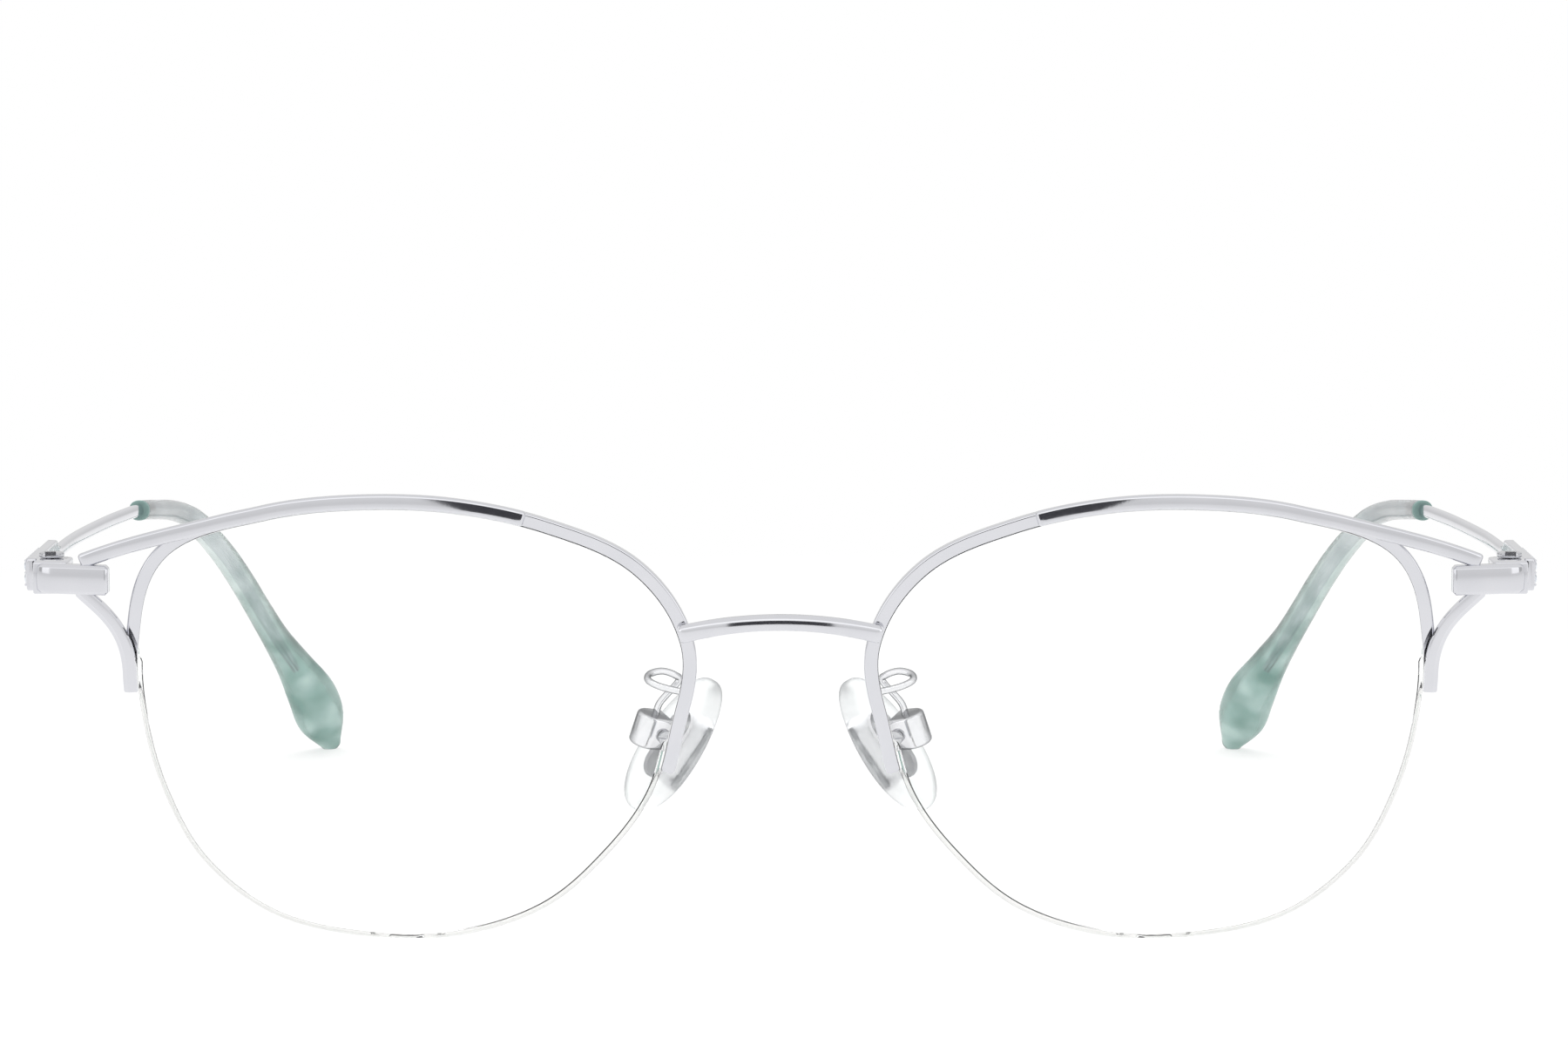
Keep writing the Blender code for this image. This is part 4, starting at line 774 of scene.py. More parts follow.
# Half of the edge, from the groove's floor to the lens's face: offset, and distance from the middle.
half_edge = [(-LENS_GROOVE_DEPTH, side - LENS_GROOVE_ROUND[0]), (floor_corner, side - LENS_GROOVE_BREAK),
             (-LENS_GROOVE_BREAK, side), (0.0, side + LENS_GROOVE_BREAK), (0.0, middle - LENS_CHAMFER),
             (-LENS_CHAMFER_CROWN, middle - LENS_CHAMFER_CROWN), (-LENS_CHAMFER, middle)]
lens_stops = [(share, -LENS_CHAMFER, 0.0) for share in LENS_SHARES]
lens_stops += [(1.0, offset, middle - away) for offset, away in reversed(half_edge)]
lens_stops += [(1.0, offset, middle + away) for offset, away in half_edge]
lens_stops += [(share, -LENS_CHAMFER, LENS_THICKNESS) for share in reversed(LENS_SHARES)]
lens_centre = Vector((LENS_MIDDLE_OUT, LENS_MIDDLE_UP))


def groove_share(angle):
    """How deep the lens's groove is: full for the cord, and none where the edge is a V."""
    if (angle - rim_start) % math.tau > rim_end - rim_start:
        return 1.0
    inside = min((angle - rim_start) % math.tau, (rim_end - angle) % math.tau)
    t = min(max((inside - LENS_GROOVE_RUN_ON) / LENS_GROOVE_FADE, 0.0), 1.0)
    return 1.0 - t * t * (3 - 2 * t)


def level_off():
    """Cut off what the active piece has below the floor, and close it with a flat face."""
    edit((bpy.ops.mesh.bisect, {"plane_co": (0.0, 0.0, 0.0), "plane_no": (0.0, 0.0, 1.0),
                                "use_fill": True, "clear_inner": True}))


lens_rows = []
for share, edge_offset, edge_back in lens_stops:
    row = []
    for k in range(LENS_SIDES):
        angle = math.tau * k / LENS_SIDES
        offset, back = edge_offset, edge_back
        deep = groove_share(angle)
        keen = min(max((math.degrees(angle) - LENS_KEEN_START) / LENS_KEEN_SPAN, 0.0), 1.0)
        if offset == -LENS_GROOVE_DEPTH:
            back += math.copysign(keen * LENS_KEEN_FLOOR, back - middle)
        elif offset == floor_corner:
            back += math.copysign(keen * LENS_KEEN_CORNER, back - middle)
            offset -= keen * LENS_KEEN_DEPTH
        if abs(back - middle) < side + 0.01:
            offset = offset * deep + LENS_V_HEIGHT * (1 - deep)
        else:
            offset *= LENS_V_CHAMFER + (1 - LENS_V_CHAMFER) * deep
        at = lens_centre.lerp(off_edge(angle, offset), share)
        row.append(spot(at.x, back + face_back(at.x, at.y), at.y))
    lens_rows.append(row)
lens = skin("clear_lens", lens_rows)
level_off()

# Cast allyl resin with no tint: water-clear, with a breath of unevenness in its polish, a patch
# in every 17 mm, and coated so that it hardly mirrors anything.
cast_lens = grained("cast lens plastic", 0.06, (0.0, 0.015), ("FEFEFE", "FCFDFC"),
                    {"IOR": 1.5, "Transmission Weight": 1.0, "Specular IOR Level": 0.02})[0]
fit(lens, "front", "clear_lens", cast_lens, "lens", smooth=40, shadow=False)


# A liner is a strip of nylon that keys the lens to the rim's groove. A cord of clear nylon in
# the lens's groove holds it from below, and both of its ends turn up into the rim.

LINER_THICKNESS = 0.45
LINER_LOW = 0.03
LINER_GAP = 0.06
LINER_ROUND = 0.1
# The liner stops short of the rim's ends by so many of the 400 steps of the rim's line.
LINER_SHORT = 20
CORD_DIAMETER = 0.5
CORD_SEAT_GAP = 0.05
CORD_SIDES = 12
# The cord runs on past the rim's ends by so many 400ths of its line, and is lifted there.
CORD_RUN_ON = 14
CORD_LIFT = 0.6
CORD_LIFT_STEPS = 24
NYLON_END_ROUND = 0.2

# Extruded nylon: nearly clear, a little warm, with a soft shine and thin grey edges that are
# painted shade, where it is seen edge-on. Its milkiness comes in patches 1.1 mm across.
clear_nylon_edge_shaded = grained("extruded nylon, painted edge shade", 0.9, (0.1, 0.16), ("F8F7F6", "F1F0EF"),
                      {"IOR": 1.53, "Transmission Weight": 1.0}, edge=("77747A", 0.25, 0.6))[0]

liner_outline = rounded(LINER_LOW, rim_low + RIM_GROOVE_DEPTH - LINER_GAP,
                        middle - LINER_THICKNESS / 2, middle + LINER_THICKNESS / 2, LINER_ROUND)
liner = bar("liner_strip", rim_line[LINER_SHORT:-LINER_SHORT], liner_outline, NYLON_END_ROUND)
fit(liner, "front", "nylon", clear_nylon_edge_shaded, "rim_liner", shadow=False)

cord_radius = CORD_DIAMETER / 2
cord_line = [off_edge(rim_end + (rim_start + math.tau - rim_end) * k / 400,
                      cord_radius + CORD_SEAT_GAP - LENS_GROOVE_DEPTH)
             for k in range(-CORD_RUN_ON, 401 + CORD_RUN_ON)]
cord_line = even_spread(cord_line, 400)
for k in range(CORD_LIFT_STEPS):
    lift = (1 - k / CORD_LIFT_STEPS) ** 2 * CORD_LIFT
    for i in (k, -k - 1):
        cord_line[i] = cord_line[i] + (cord_line[i] - lens_centre).normalized() * lift
cord_angles = [math.tau * k / CORD_SIDES for k in range(CORD_SIDES)]
cord_outline = [(cord_radius * math.cos(a), middle + cord_radius * math.sin(a)) for a in cord_angles]
cord = bar("lens_cord", cord_line, cord_outline, NYLON_END_ROUND)
fit(cord, "front", "nylon", clear_nylon_edge_shaded, "nylon_cord", shadow=False)


# A pad arm is a drawn wire of nickel silver that leaves the back of the rim, turns round a
# loop and drops to a small box with a round outer end. The box is open towards the nose and
# holds the pad's tongue on a screw.

PAD_OUT = LENS_GAP / 2 + 2.55
PAD_BACK = 7.6
PAD_HEIGHT = LENS_MIDDLE_UP - 1.05
PAD_CANT = math.radians(33)
BOX_CANT = math.radians(15)
PAD_SPLAY = math.radians(36)
BOX_OUT = 2.4
BOX_NOSE = 0.8
BOX_DEPTH = 3.0
BOX_HEIGHT = 3.2
BOX_WALL = 0.4
BOX_EDGE = 0.35
BOX_SLOT_OUT = 1.13
BOX_SLOT_HALF = 0.7
PAD_BORE = 0.45
PAD_BORE_REACH = 3.0
PAD_SCREW_RADIUS = 0.4
PAD_SCREW_PLAY = 0.05
PAD_SCREW_HEAD_RADIUS = 0.7
PAD_SCREW_HEAD_HEIGHT = 0.4
PAD_SCREW_SLOT_HALF = 0.13
PAD_SCREW_SLOT_REACH = 2.0
PAD_SCREW_SLOT_DEPTH = 0.22
PAD_WIRE_RADIUS = 0.34
PAD_WIRE_FOOT_RISE = 3.25
PAD_WIRE_SINK = 0.2
PAD_POST_OUT = 0.55
PAD_POST_SINK = 0.1
PAD_POST_RISE = 1.3
# The loop's reach towards the nose and its rise, and its points from the rim to the post as
# shares of that reach, of the way back and of that rise.
LOOP_REACH = 3.95
LOOP_RISE = 1.4
LOOP_SHARES = ((0.07, 0.12, 0.02), (0.36, 0.17, 0.14), (0.74, 0.24, 0.42), (0.97, 0.38, 0.74),
               (0.93, 0.58, 1.05), (0.64, 0.74, 1.18), (0.34, 0.86, 0.86), (0.26, 0.95, 0.4))
LOOP_STEPS = 8

pad_frame = (Matrix.Translation(spot(PAD_OUT, PAD_BACK, PAD_HEIGHT))
             @ Matrix.Rotation(PAD_CANT, 4, "Y") @ Matrix.Rotation(PAD_SPLAY, 4, "Z"))
box_frame = pad_frame @ Matrix.Rotation(BOX_CANT - PAD_CANT, 4, "Y")


def local_block(name, low, high):
    """A block between two corners about the pad's screw, before it is put in its frame."""
    bpy.ops.object.select_all(action="DESELECT")
    centre = [(a + b) / 2 * MM for a, b in zip(low, high)]
    bpy.ops.mesh.primitive_cube_add(size=1, location=centre)
    piece = bpy.context.object
    piece.name = name
    piece.scale = [(b - a) * MM for a, b in zip(low, high)]
    bpy.ops.object.transform_apply(location=True, rotation=True, scale=True)
    return piece


def local_drum(name, radius, front, back):
    """A round tool or blank along the pad's screw."""
    bpy.ops.object.select_all(action="DESELECT")
    bpy.ops.mesh.primitive_cylinder_add(vertices=32, radius=radius * MM, depth=(back - front) * MM,
                                        location=(0.0, (front + back) / 2 * MM, 0.0),
                                        rotation=(math.radians(90), 0.0, 0.0))
    piece = bpy.context.object
    piece.name = name
    bpy.ops.object.transform_apply(location=True, rotation=True, scale=True)
    return piece


# Nickel silver, stamped and drawn: bright where it faces the eye, painted shade of grey along its
# edges. Its grain is 0.7 mm across, coarser than real grain, which would not show.
nickel_silver_edge_shaded = grained("bright nickel silver, painted edge shade", 1.5, (0.06, 0.14), ("F4F4F6", "E8E8EC"), {"Metallic": 1.0},
                        edge=("6A6C70", 0.18, 0.68))[0]

half = BOX_DEPTH / 2
outline = [(BOX_OUT - half + half * math.cos(a), half * math.sin(a))
           for a in [math.pi / 2 - math.pi * k / 20 for k in range(21)]]
outline += [(-BOX_NOSE, -half), (-BOX_NOSE, half)]
pad_box = slab("pad_housing", [Vector((-x, y, -BOX_HEIGHT / 2)) * MM for x, y in outline], BOX_HEIGHT)
bevel(pad_box, BOX_EDGE, 3)
cut(pad_box,
    local_block("slot", (-BOX_SLOT_OUT, -BOX_SLOT_HALF, BOX_WALL - BOX_HEIGHT / 2),
                (BOX_NOSE + TOOL_OVERRUN, BOX_SLOT_HALF, BOX_HEIGHT / 2 - BOX_WALL)),
    local_drum("bore", PAD_BORE, -PAD_BORE_REACH, PAD_BORE_REACH))
pad_box.data.transform(box_frame)
fit(pad_box, "front", "polished_metal", nickel_silver_edge_shaded, "pad_box", smooth=35)

seat = -half - PAD_SCREW_PLAY
pad_screw = local_drum("pad_pin", PAD_SCREW_HEAD_RADIUS, seat - PAD_SCREW_HEAD_HEIGHT, seat)
bevel(pad_screw, PIN_EDGE, 2)
cut(pad_screw, local_block("slot", (-PAD_SCREW_SLOT_REACH, seat - TOOL_OVERRUN, -PAD_SCREW_SLOT_HALF),
                           (PAD_SCREW_SLOT_REACH, seat - PAD_SCREW_SLOT_DEPTH, PAD_SCREW_SLOT_HALF)))
pin = local_drum("pin", PAD_SCREW_RADIUS, seat - SCREW_OVERLAP, half)
join(pad_screw, pin)
pad_screw.data.transform(box_frame)
fit(pad_screw, "front", "steel", turned_steel, "pad_screw", smooth=35)

wire_angle = edge_angle(LENS_MIDDLE_UP + PAD_WIRE_FOOT_RISE, 200, 120)
wire_foot = off_edge(wire_angle, (RIM_WIDTH + LENS_SEAT_GAP) / 2)
wire_root = spot(wire_foot.x, rim_back - PAD_WIRE_SINK + face_back(wire_foot.x, wire_foot.y), wire_foot.y)
post_foot = box_frame @ (Vector((-PAD_POST_OUT, 0.0, BOX_HEIGHT / 2 - PAD_POST_SINK)) * MM)
post_rise = box_frame.to_3x3() @ Vector((0.0, 0.0, 1.0))
way_back = (post_foot.y - wire_root.y) / MM
route = [wire_root]
for nose, back, up in LOOP_SHARES:
    route.append(wire_root + Vector((-nose * LOOP_REACH, back * way_back, up * LOOP_RISE)) * MM)
route += [post_foot + post_rise * PAD_POST_RISE * MM, post_foot]
bpy.ops.object.select_all(action="DESELECT")
bpy.ops.curve.primitive_nurbs_path_add()
pad_arm = bpy.context.object
pad_arm.name = "pad_wire"
pad_arm.data.splines.clear()
line = pad_arm.data.splines.new("POLY")
line.points.add((len(route) - 1) * LOOP_STEPS)
for k, point in enumerate(line.points):
    point.co = (*smooth_at(route, k / LOOP_STEPS), 1.0)
pad_arm.location = (0.0, 0.0, 0.0)
pad_arm.data.dimensions = "3D"
pad_arm.data.bevel_depth = PAD_WIRE_RADIUS * MM
pad_arm.data.bevel_resolution = 4
pad_arm.data.use_fill_caps = True
bpy.ops.object.convert(target="MESH")
fit(pad_arm, "front", "polished_metal", nickel_silver_edge_shaded, "pad_arm")


# A nose pad is clear silicone, moulded round a small nickel-plated plate whose tongue turns
# on the box's screw. It is an oval cushion, wider below, with a softly domed face towards the
# nose.

INSERT_OUT = 2.5
INSERT_THICKNESS = 0.5
INSERT_FRONT = -2.5
INSERT_REAR = 0.9
INSERT_HALF = 3.6
INSERT_ROUND = 1.6
INSERT_EDGE = 0.08
LIP_IN = 0.8
LIP_WIDTH = 0.5
LIP_FRONT = -2.62
LIP_REAR = -2.3
LIP_HALF = 3.3
LIP_EDGE = 0.1
TONGUE_TIP = -0.8
TONGUE_ROOT = 0.2
TONGUE_DEPTH = 1.2
TONGUE_HEIGHT = 1.3
TONGUE_EDGE = 0.06
PAD_START = 1.85
PAD_THICKNESS = 2.4
PAD_WIDTH = 7.6
PAD_LENGTH = 14.4
PAD_DROP = 0.55
PAD_TAPER = 0.12
PAD_EDGE = 0.85
PAD_DOME = 0.2
PAD_SIDES = 64

insert = local_block("pad_plate", (INSERT_OUT, INSERT_FRONT, -PAD_DROP - INSERT_HALF),
                     (INSERT_OUT + INSERT_THICKNESS, INSERT_REAR, INSERT_HALF - PAD_DROP))
# All its edges are rounded by more than it is thick. That draws it as a fuller, rounded plate,
# 2.7 mm thick, whose mesh crosses itself.
edit((bpy.ops.mesh.bevel, {"offset": INSERT_ROUND * MM, "segments": 6, "affect": "EDGES"}))
bevel(insert, INSERT_EDGE, 2)
lip = local_block("pad_plate_edge", (INSERT_OUT + LIP_IN, LIP_FRONT, -PAD_DROP - LIP_HALF),
                  (INSERT_OUT + LIP_IN + LIP_WIDTH, LIP_REAR, LIP_HALF - PAD_DROP))
bevel(lip, LIP_EDGE, 2)
tongue = local_block("tongue", (TONGUE_TIP, -TONGUE_DEPTH / 2, -TONGUE_HEIGHT / 2),
                     (INSERT_OUT + TONGUE_ROOT, TONGUE_DEPTH / 2, TONGUE_HEIGHT / 2))
cut(tongue, local_drum("bore", PAD_BORE, -PAD_BORE_REACH, PAD_BORE_REACH))
bevel(tongue, TONGUE_EDGE, 2)
join(insert, tongue)
insert.data.transform(pad_frame)
lip.data.transform(pad_frame)

# Bright nickel plate on the stamped plate: it mirrors the white room, softly, in patches
# 0.7 mm across. Its sheared front edge is dull, with painted shade of darker grey in patches of 1.3 mm.
# Both are drawn coarser than real ones, so that they show.
bright_nickel = grained("bright nickel plate", 1.5, (0.35, 0.5), ("FAFAFB", "F2F2F4"), {"Metallic": 0.4})[0]
sheared_edge_shaded = grained("sheared nickel edge, painted shade", 0.8, (0.35, 0.6), ("E2E3E4", "7E8082"), {"Metallic": 1.0},
                       detail=4.0)[0]
fit(insert, "pad", "steel", bright_nickel, "pad_insert", smooth=35)
fit(lip, "pad", "steel", sheared_edge_shaded, smooth=35)

# The cushion's rings from its back to its face: how far towards the nose, the share of its
# outline, and how far inside it.
pad_stops = [(0.0, share, PAD_EDGE) for share in (0.0, 0.3, 0.6, 0.85)]
turns = [math.radians(90 * k / 8) for k in range(9)]
pad_stops += [(PAD_EDGE * (1 - math.cos(a)), 1.0, PAD_EDGE * (1 - math.sin(a))) for a in turns]
pad_stops += [(PAD_THICKNESS - PAD_DOME - PAD_EDGE * (1 - math.sin(a)), 1.0, PAD_EDGE * (1 - math.cos(a)))
              for a in turns]
pad_stops += [(PAD_THICKNESS - PAD_DOME * share * share, share, PAD_EDGE) for share in (0.85, 0.6, 0.3, 0.0)]
pad_rows = []
for inward, share, shrink in pad_stops:
    row = []
    for k in range(PAD_SIDES):
        angle = math.tau * k / PAD_SIDES
        up = math.sin(angle) * (PAD_LENGTH / 2 - shrink) * share
        wide = math.cos(angle) * (PAD_WIDTH / 2 - shrink) * (1 - PAD_TAPER * math.sin(angle)) * share
        row.append(pad_frame @ (Vector((PAD_START + inward, wide, up - PAD_DROP)) * MM))
    pad_rows.append(row)
pad = skin("silicone_pad", pad_rows)

# Moulded silicone: water-clear with a soft skin, painted shade of grey along its edges, and a
# faint haze in patches 3 mm across.
clear_silicone_edge_shaded = grained("moulded silicone, painted edge shade", 0.3, (0.26, 0.36), ("FBFCFC", "F4F7F7"),
                         {"IOR": 1.3, "Transmission Weight": 1.0}, edge=("85898D", 0.42, 0.95))[0]
fit(pad, "pad", "silicone", clear_silicone_edge_shaded, "nose_pad", shadow=False)


# A temple is one metal bar: a flat plate at the hinge that narrows to a springy wire, which
# runs back, bends down behind the ear, and ends as a core inside the tip.

TIP_INSET = 16.85
# The bar's middle line at 21 stations: back from the hinge as shares of its reach, in from the
# plate as shares of the tip's inset, and its height as shares of the end piece's.
TEMPLE_BACK_SHARES = (-0.008, 0.05, 0.10, 0.132, 0.165, 0.27, 0.39, 0.46, 0.512, 0.575, 0.645,
                      0.695, 0.73, 0.765, 0.80, 0.83, 0.865, 0.90, 0.93, 0.96, 0.985)
TEMPLE_IN_SHARES = (0.0, -0.012, -0.023, -0.029, -0.030, -0.026, 0.029, 0.084, 0.130, 0.180, 0.241,
                    0.317, 0.398, 0.497, 0.590, 0.666, 0.755, 0.858, 0.955, 0.999, 1.042)
TEMPLE_HEIGHT_SHARES = (1.0, 1.0, 1.0, 1.0, 1.0, 1.0, 1.0, 1.0, 0.997, 0.978, 0.950,
                        0.908, 0.844, 0.754, 0.649, 0.553, 0.443, 0.332, 0.221, 0.119, 0.034)
PLATE_HEIGHT = 3.1
PLATE_END_ROUND = 0.25
PLATE_SQUARENESS = 8
WIRE_HEIGHT = 1.4
WIRE_THICKNESS = 1.0
WIRE_SQUARENESS = 2.3
# The plate narrows to the wire over the station after this one.
TAPER_STATION = 3
# The core starts with the sleeve, ends at a station inside it, and is thinner than the wire.
SLEEVE_STATION = 8
CORE_END = 17
CORE_THINNING = 0.3
CORE_STEP = 0.5
# The plate's front end is rounded over this part of the first station.
PLATE_CLOSING = 0.05


def temple_place(place):
    """The temple's middle line, at a place counted in stations."""
    return spot(PLATE_OUT - smooth_at(TEMPLE_IN_SHARES, place) * TIP_INSET,
                HINGE_BACK + smooth_at(TEMPLE_BACK_SHARES, place) * TEMPLE_REACH,
                smooth_at(TEMPLE_HEIGHT_SHARES, place) * BLOCK_MIDDLE_HEIGHT)


def temple_axes(place):
    """The directions out, up and along the temple at a place."""
    last = len(TEMPLE_BACK_SHARES) - 1
    along = (temple_place(min(place + 0.25, last)) - temple_place(max(place - 0.25, 0))).normalized()
    out = Vector((-1.0, 0.0, 0.0))
    out = (out - along * out.dot(along)).normalized()
    return out, out.cross(along), along


def oval(centre, across, up, wide, high, squareness, count):
    """A closed section with half sizes in millimetres: an ellipse, or nearer to a rectangle."""
    ring = []
    for k in range(count):
        c, s = math.cos(math.tau * k / count), math.sin(math.tau * k / count)
        a = math.copysign(abs(c) ** (2 / squareness), c) * wide
        b = math.copysign(abs(s) ** (2 / squareness), s) * high
        ring.append(centre + (across * a + up * b) * MM)
    return ring


temple_rows = []
for place in [0.0, 0.006, 0.02, 0.05, 0.1] + [0.2 * k for k in range(1, CORE_END * 5 + 1)]:
    out, up, along = temple_axes(place)
    taper = min(max(place - TAPER_STATION, 0.0), 1.0)
    taper = taper * taper * (3 - 2 * taper)
    high = (PLATE_HEIGHT + (WIRE_HEIGHT - PLATE_HEIGHT) * taper) / 2
    wide = PLATE_THICKNESS / 2
    if place > SLEEVE_STATION:
        core = 1 - CORE_THINNING * min((place - SLEEVE_STATION) / CORE_STEP, 1.0)
        wide, high = wide * core, high * core
    close = min(place / PLATE_CLOSING, 1.0)
    inset = PLATE_END_ROUND * (1 - math.sqrt(max(1 - (1 - close) ** 2, 0.0)))
    squareness = PLATE_SQUARENESS + (WIRE_SQUARENESS - PLATE_SQUARENESS) * taper
    temple_rows.append(oval(temple_place(place), out, up, wide - inset, high - inset, squareness, 32))
temple = skin("temple_bar", temple_rows)
fit(temple, "temple", "polished_metal", polished_rhodium, "temple", smooth=50)


# A temple tip is translucent green plastic, moulded as a sleeve that is open in front and
# swells into a paddle behind the ear. The metal core shows through it.

TIP_WIDTH = 6.2
TIP_THICKNESS = 3.3
# The sleeve's width and thickness at each of its stations, as shares of the paddle's.
TIP_WIDTH_SHARES = (0.34, 0.345, 0.36, 0.39, 0.42, 0.45, 0.465, 0.48, 0.53, 0.70, 0.93, 0.9, 0.42)
TIP_THICKNESS_SHARES = (0.64, 0.65, 0.68, 0.72, 0.76, 0.79, 0.82, 0.85, 0.88, 0.94, 1.0, 0.97, 0.78)
TIP_STATIONS = len(TIP_WIDTH_SHARES) - 1
TIP_TWIST = math.radians(25)
TIP_SIDES = 40
TIP_SQUARENESS = 2.2
TIP_END = 1.2
TIP_LEAST = 0.02
MOUTH_SQUARENESS = 2.4
MOUTH_GAP = 0.1
MOUTH_STAND = 0.032


def tip_ring(place, grow=0.0, beyond=0.0, size=1.0):
    """A ring of the tip's outside at a place, grown and set beyond it in millimetres, and resized."""
    out, up, along = temple_axes(SLEEVE_STATION + place)
    turn = TIP_TWIST * place / TIP_STATIONS
    across = out * math.cos(turn) + up * math.sin(turn)
    wide = TIP_WIDTH * smooth_at(TIP_WIDTH_SHARES, place) / 2 + grow
    thick = TIP_THICKNESS * smooth_at(TIP_THICKNESS_SHARES, place) / 2 + grow
    centre = temple_place(SLEEVE_STATION + place) + along * beyond * MM
    return oval(centre, across, across.cross(along), wide * size, thick * size, TIP_SQUARENESS, TIP_SIDES)


# From the middle of the mouth out over its edge, back along the sleeve, and round its end.
tip_rows = []
out, up, along = temple_axes(SLEEVE_STATION)
for wide, high in ((0.05, 0.05), (WIRE_THICKNESS / 2 - MOUTH_GAP, WIRE_HEIGHT / 2 - MOUTH_GAP)):
    tip_rows.append(oval(temple_place(SLEEVE_STATION), out, up, wide, high, MOUTH_SQUARENESS, TIP_SIDES))
tip_rows += [tip_ring(place, grow) for place, grow in ((0.0, -0.16), (0.006, -0.05), (0.02, 0.0))]
tip_rows += [tip_ring(k / 6) for k in range(1, TIP_STATIONS * 6 + 1)]
for k in range(1, 9):
    angle = math.radians(90 * k / 8)
    size = max(math.cos(angle), TIP_LEAST)
    tip_rows.append(tip_ring(TIP_STATIONS, beyond=TIP_END * math.sin(angle), size=size))
tip = skin("tip_sleeve", tip_rows)
level_off()

# Tinted moulded plastic: mixed between pale and deep green in a swirl some 4 mm across left by
# the moulding, and darker towards its low end.
tinted_plastic, tree, shader, where = finish("translucent green plastic",
                                             {"IOR": 1.49, "Transmission Weight": 0.86})
swirl = add(tree, "ShaderNodeTexNoise", {"Vector": (where, "Object"), "Scale": 0.24 / MM, "Detail": 1.0})
gloss = add(tree, "ShaderNodeMapRange", {"Value": (swirl, "Fac"), "To Min": 0.12, "To Max": 0.24})
tree.links.new(gloss.outputs["Result"], shader.inputs["Roughness"])
height = add(tree, "ShaderNodeSeparateXYZ", {"Vector": (where, "Object")})
low_end = add(tree, "ShaderNodeMapRange", {"Value": (height, "Z"), "From Min": 34 * MM, "From Max": 12 * MM})
pale = add(tree, "ShaderNodeMix", {SHARE: (low_end, "Result"), FIRST: colour("FCFDFD"),
                                   SECOND: colour("C6DCD8")}, data_type="RGBA")
deep = add(tree, "ShaderNodeMix", {SHARE: (low_end, "Result"), FIRST: colour("EFF4F4"),
                                   SECOND: colour("5E9085")}, data_type="RGBA")
cloud = add(tree, "ShaderNodeMapRange", {"Value": (swirl, "Fac"), "From Min": 0.34, "From Max": 0.66})
tint = add(tree, "ShaderNodeMix", {SHARE: (cloud, "Result"), FIRST: (pale, MIXTURE),
                                   SECOND: (deep, MIXTURE)}, data_type="RGBA")
tree.links.new(tint.outputs[MIXTURE], shader.inputs["Base Color"])
depth = add(tree, "ShaderNodeVolumeAbsorption", {"Color": colour("6FB0A3"), "Density": 62.0})
tree.links.new(depth.outputs["Volume"], tree.nodes["Material Output"].inputs["Volume"])
fit(tip, "temple", "teal_plastic", tinted_plastic, "temple_tip", smooth=50)

# The sleeve's mouth, where the plastic is cut: matt, with the shade of its open end painted as a
# deeper green than the sleeve behind, in patches of 1.4 mm, coarser than the real saw marks.
mouth_stops = ((0.13, -0.4, 0.0), (0.13, -0.05, 0.0), (0.1, 0.03, 0.0), (0.015, 0.03, 0.0),
               (0.0, -0.05, 0.0), (0.0, -0.2, -MOUTH_STAND), (0.0, -0.6, -MOUTH_STAND))
mouth = skin("sleeve_mouth", [tip_ring(place, grow, beyond) for place, grow, beyond in mouth_stops])
mouth_painted_shade = grained("green plastic, painted mouth shade", 0.7, (0.35, 0.5), ("83A09B", "6F8A86"), {})[0]
fit(mouth, "temple", "teal_plastic", mouth_painted_shade, smooth=50)


# The trim is a thin metal strip on the plate's outer face, set with two rows of small cut
# stones. Grains of metal are raised between the stones and pushed over their edges.

TRIM_LENGTH = 11.5
TRIM_HEIGHT = 2.5
TRIM_THICKNESS = 0.2
TRIM_START = 1.6
TRIM_EDGE = 0.06
STONE_ROWS = 2
STONE_COUNT = 8
STONE_RADIUS = 0.56
STONE_SIDES = 10
STONE_GIRDLE = 0.1
STONE_CROWN = 0.13
STONE_TABLE = 0.58
STONE_SINK = 0.02
STONE_ROW_SHARE = 0.95
GRAIN_RADIUS = 0.14
# The grains stand a little inside the strip's ends and sides.
GRAIN_LENGTH_SHARE = 0.985
GRAIN_HEIGHT_SHARE = 0.93

one, two = temple_place(0.0), temple_place(2.0)
trim_along = (two - one).normalized()
trim_out = Vector((-abs(trim_along.y), trim_along.x * math.copysign(1.0, trim_along.y), 0.0)).normalized()
trim_up = Vector((0.0, 0.0, 1.0))
trim_middle = one + trim_along * (TRIM_START + TRIM_LENGTH / 2) * MM
trim_middle = trim_middle + trim_out * (PLATE_THICKNESS / 2 + SOLDER_GAP) * MM
trim_frame = Matrix.Translation(trim_middle) @ Matrix((trim_along, trim_up, trim_out)).transposed().to_4x4()

strip = local_block("trim_strip", (-TRIM_LENGTH / 2, -TRIM_HEIGHT / 2, 0.0),
                    (TRIM_LENGTH / 2, TRIM_HEIGHT / 2, TRIM_THICKNESS))
bevel(strip, TRIM_EDGE, 2)
pitch = TRIM_LENGTH / STONE_COUNT
row_pitch = TRIM_HEIGHT / STONE_ROWS
grains = []
for i in range(STONE_COUNT + 1):
    for j in range(STONE_ROWS + 1):
        at = ((i - STONE_COUNT / 2) * pitch * GRAIN_LENGTH_SHARE,
              (j - STONE_ROWS / 2) * row_pitch * GRAIN_HEIGHT_SHARE, TRIM_THICKNESS - STONE_SINK)
        bpy.ops.mesh.primitive_ico_sphere_add(subdivisions=2, radius=GRAIN_RADIUS * MM,
                                              location=[c * MM for c in at])
        grains.append(bpy.context.object)
join(strip, *grains)
# The frame is left-handed and turns a mesh inside out, so its faces are turned out again.
strip.data.transform(trim_frame)
strip.data.flip_normals()
fit(strip, "temple", "polished_metal", polished_rhodium, smooth=35)

